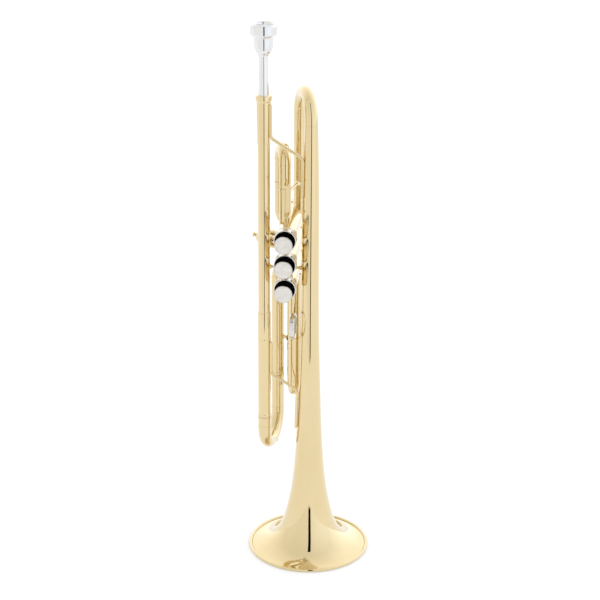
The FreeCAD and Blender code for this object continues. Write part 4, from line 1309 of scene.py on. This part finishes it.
@dataclass
class Mouthpiece:
    """The silver-plated mouthpiece."""

    def build(self) -> None:
        """Makes the mouthpiece."""
        low, high = span("mouthpiece")
        top, end = high.z, low.z
        seat = span("mouthpiece_receiver")[1].z
        outside = [(9.4, top - 0.7), (10.0, top - 0.15), (10.7, top), (11.5, top - 0.25), (12.1, top - 0.9),
                   (12.4, top - 1.9), (12.5, top - 4.0), (12.45, top - 8.6), (12.1, top - 9.8), (11.3, top - 10.7),
                   (10.0, top - 11.2), (9.3, top - 12.0), (9.05, top - 13.6), (9.0, top - 17.0), (8.85, top - 20.5),
                   (8.2, top - 23.8), (6.9, top - 26.4), (5.5, top - 27.9), (4.75, top - 29.2), (4.42, top - 31.5),
                   (4.38, top - 36), (4.5, seat + 10), (4.85, seat + 1), (4.88, seat), (4.6, end), (4.1, end)]
        inside = [(3.2, end + 30), (1.9, top - 34), (1.9, top - 22), (3.2, top - 17.5), (5.4, top - 14.2),
                  (7.2, top - 10.5), (8.2, top - 6), (8.7, top - 2.4)]
        blank = Blank().lathe(soften(outside + inside, 0.5), Leg.of("leadpipe").at(0), Z_AXIS, sectors=96)
        blank.piece("mouthpiece_cup", SILVER, "mouthpiece", "mouthpiece")


# Studio

@dataclass
class Studio:
    """A white cove with a narrow dark opening in front, where polished tubes show it as a thin line."""

    floor_front: float = 0.56
    floor_reach: float = 6.0
    floor_glow: float = 0.22
    opening_azimuth: float = 10.0
    opening_distance: float = 1.9
    opening_width: float = 0.36
    opening_low: float = -1.6
    opening_top_angle: float = 72.0
    opening_taper: float = 0.5
    base_light: float = 1.0
    side_light: float = 0.22
    back_light: float = 0.4
    top_light: float = -0.08
    side_tint: Colour = (0.96, 1.0, 1.1)

    def build(self) -> None:
        """Makes the floor, the dark opening and the white surroundings."""
        self._floor()
        self._opening()
        self._surroundings()

    def _stage(self, name: str, verts: list[Vector], faces: list[list[int]], material: bpy.types.Material
               ) -> bpy.types.Object:
        """A stage object from a bare mesh."""
        data = bpy.data.meshes.new(name)
        data.from_pydata([tuple(v) for v in verts], [], faces)
        data.materials.append(material)
        made = bpy.data.objects.new(name, data)
        bpy.context.scene.collection.objects.link(made)
        return made

    def _paint(self, name: str, values: dict[str, float | tuple[float, ...]]) -> bpy.types.Material:
        """A plain stage material."""
        paint = bpy.data.materials.new(name)
        paint.use_nodes = True
        set_inputs(paint.node_tree.nodes["Principled BSDF"], values)
        return paint

    def _floor(self) -> None:
        """The white floor, which ends a little way in front of the bell."""
        paint = self._paint("floor_white", {"Base Color": (0.8, 0.8, 0.8, 1.0), "Roughness": 0.9,
                                            "Specular IOR Level": 0.1, "Emission Color": (1.0, 1.0, 1.0, 1.0),
                                            "Emission Strength": self.floor_glow})
        reach, front = self.floor_reach, self.floor_front
        z = cad_box[0].z - 0.0002
        verts = [Vector((-reach, -front, z)), Vector((reach, -front, z)), Vector((reach, reach, z)),
                 Vector((-reach, reach, z))]
        self._stage("studio_floor", verts, [[0, 1, 2, 3]], paint)

    def _opening(self) -> None:
        """The dark opening, from below the floor up and over the trumpet."""
        paint = self._paint("opening_black", {"Base Color": (0.004, 0.003, 0.003, 1.0), "Roughness": 1.0,
                                              "Specular IOR Level": 0.0})
        angle = math.radians(self.opening_azimuth)
        out = Vector((math.sin(angle), -math.cos(angle), 0))
        side = Vector((math.cos(angle), math.sin(angle), 0)) * (self.opening_width / 2)
        line = [out * self.opening_distance + Z_AXIS * self.opening_low]
        for step in range(25):
            rise = math.radians(self.opening_top_angle * step / 24)
            line.append((out * math.cos(rise) + Z_AXIS * math.sin(rise)) * self.opening_distance)
        widths = np.linspace(1.0, self.opening_taper, len(line))
        verts = [point + side * sign * width for point, width in zip(line, widths) for sign in (-1, 1)]
        faces = [[2 * i, 2 * i + 1, 2 * i + 3, 2 * i + 2] for i in range(len(line) - 1)]
        opening = self._stage("studio_opening", verts, faces, paint)
        opening.visible_camera = False
        opening.visible_shadow = False
        opening.visible_diffuse = False

    def _surroundings(self) -> None:
        """White light from everywhere, a little stronger from the right."""
        scene = bpy.context.scene
        scene.view_settings.view_transform = "Standard"
        world = bpy.data.worlds.new("studio_white")
        world.use_nodes = True
        scene.world = world
        tree = world.node_tree
        back = tree.nodes["Background"]
        place = tree.nodes.new("ShaderNodeTexCoord")
        split = tree.nodes.new("ShaderNodeSeparateXYZ")
        tree.links.new(place.outputs["Generated"], split.inputs["Vector"])
        tint = tree.nodes.new("ShaderNodeValToRGB")
        tint.color_ramp.elements[0].color = (1.0, 1.0, 1.0, 1.0)
        tint.color_ramp.elements[1].color = (*self.side_tint, 1.0)
        tree.links.new(split.outputs["X"], tint.inputs["Fac"])
        tree.links.new(tint.outputs["Color"], back.inputs["Color"])
        level = tree.nodes.new("ShaderNodeValue").outputs["Value"]
        level.default_value = self.base_light
        for way, gain in (("X", self.side_light), ("Y", self.back_light), ("Z", self.top_light)):
            slope = tree.nodes.new("ShaderNodeMapRange")
            slope.inputs["To Max"].default_value = gain
            tree.links.new(split.outputs[way], slope.inputs["Value"])
            total = tree.nodes.new("ShaderNodeMath")
            tree.links.new(level, total.inputs[0])
            tree.links.new(slope.outputs["Result"], total.inputs[1])
            level = total.outputs["Value"]
        tree.links.new(level, back.inputs["Strength"])


@dataclass
class Viewpoint:
    """The camera, standing in front and a little above."""

    azimuth: float = 6.0
    pitch: float = 21.3
    roll: float = 0.291
    distance: float = 1.526
    offset: float = -0.00964
    height: float = 0.857
    lens: float = 103.2

    def build(self) -> None:
        """Makes the camera and looks through it."""
        turn, tip = math.radians(self.azimuth), math.radians(self.pitch)
        right = Vector((math.cos(turn), math.sin(turn), 0))
        ahead = Vector((-math.sin(turn), math.cos(turn), 0))
        look = ahead * math.cos(tip) - Z_AXIS * math.sin(tip)
        above = right.cross(look)
        data = bpy.data.cameras.new("studio_camera")
        data.lens = self.lens
        data.sensor_width = 36.0
        data.clip_start, data.clip_end = 0.05, 30.0
        camera = bpy.data.objects.new("studio_camera", data)
        bpy.context.scene.collection.objects.link(camera)
        aim = Matrix((right, above, -look)).transposed() @ Matrix.Rotation(math.radians(self.roll), 3, "Z")
        place = right * self.offset - ahead * self.distance + Z_AXIS * self.height
        camera.matrix_world = Matrix.Translation(place) @ aim.to_4x4()
        bpy.context.scene.camera = camera


def main() -> None:
    """Builds the trumpet, the studio and the camera."""
    logging.basicConfig(level=logging.INFO, format="%(message)s")
    Viewpoint().build()
    block = ValveBlock()
    casings = block.cutters()
    Bell().build(casings)
    Leadpipe().build(casings)
    block.build(casings)
    TuningSlide().build()
    FirstSlide().build(casings)
    SecondSlide().build(casings)
    ThirdSlide().build(casings)
    Stays().build()
    Mouthpiece().build()
    for cutter in casings:
        bpy.data.objects.remove(cutter)
    Studio().build()


if __name__ == "__main__":
    main()
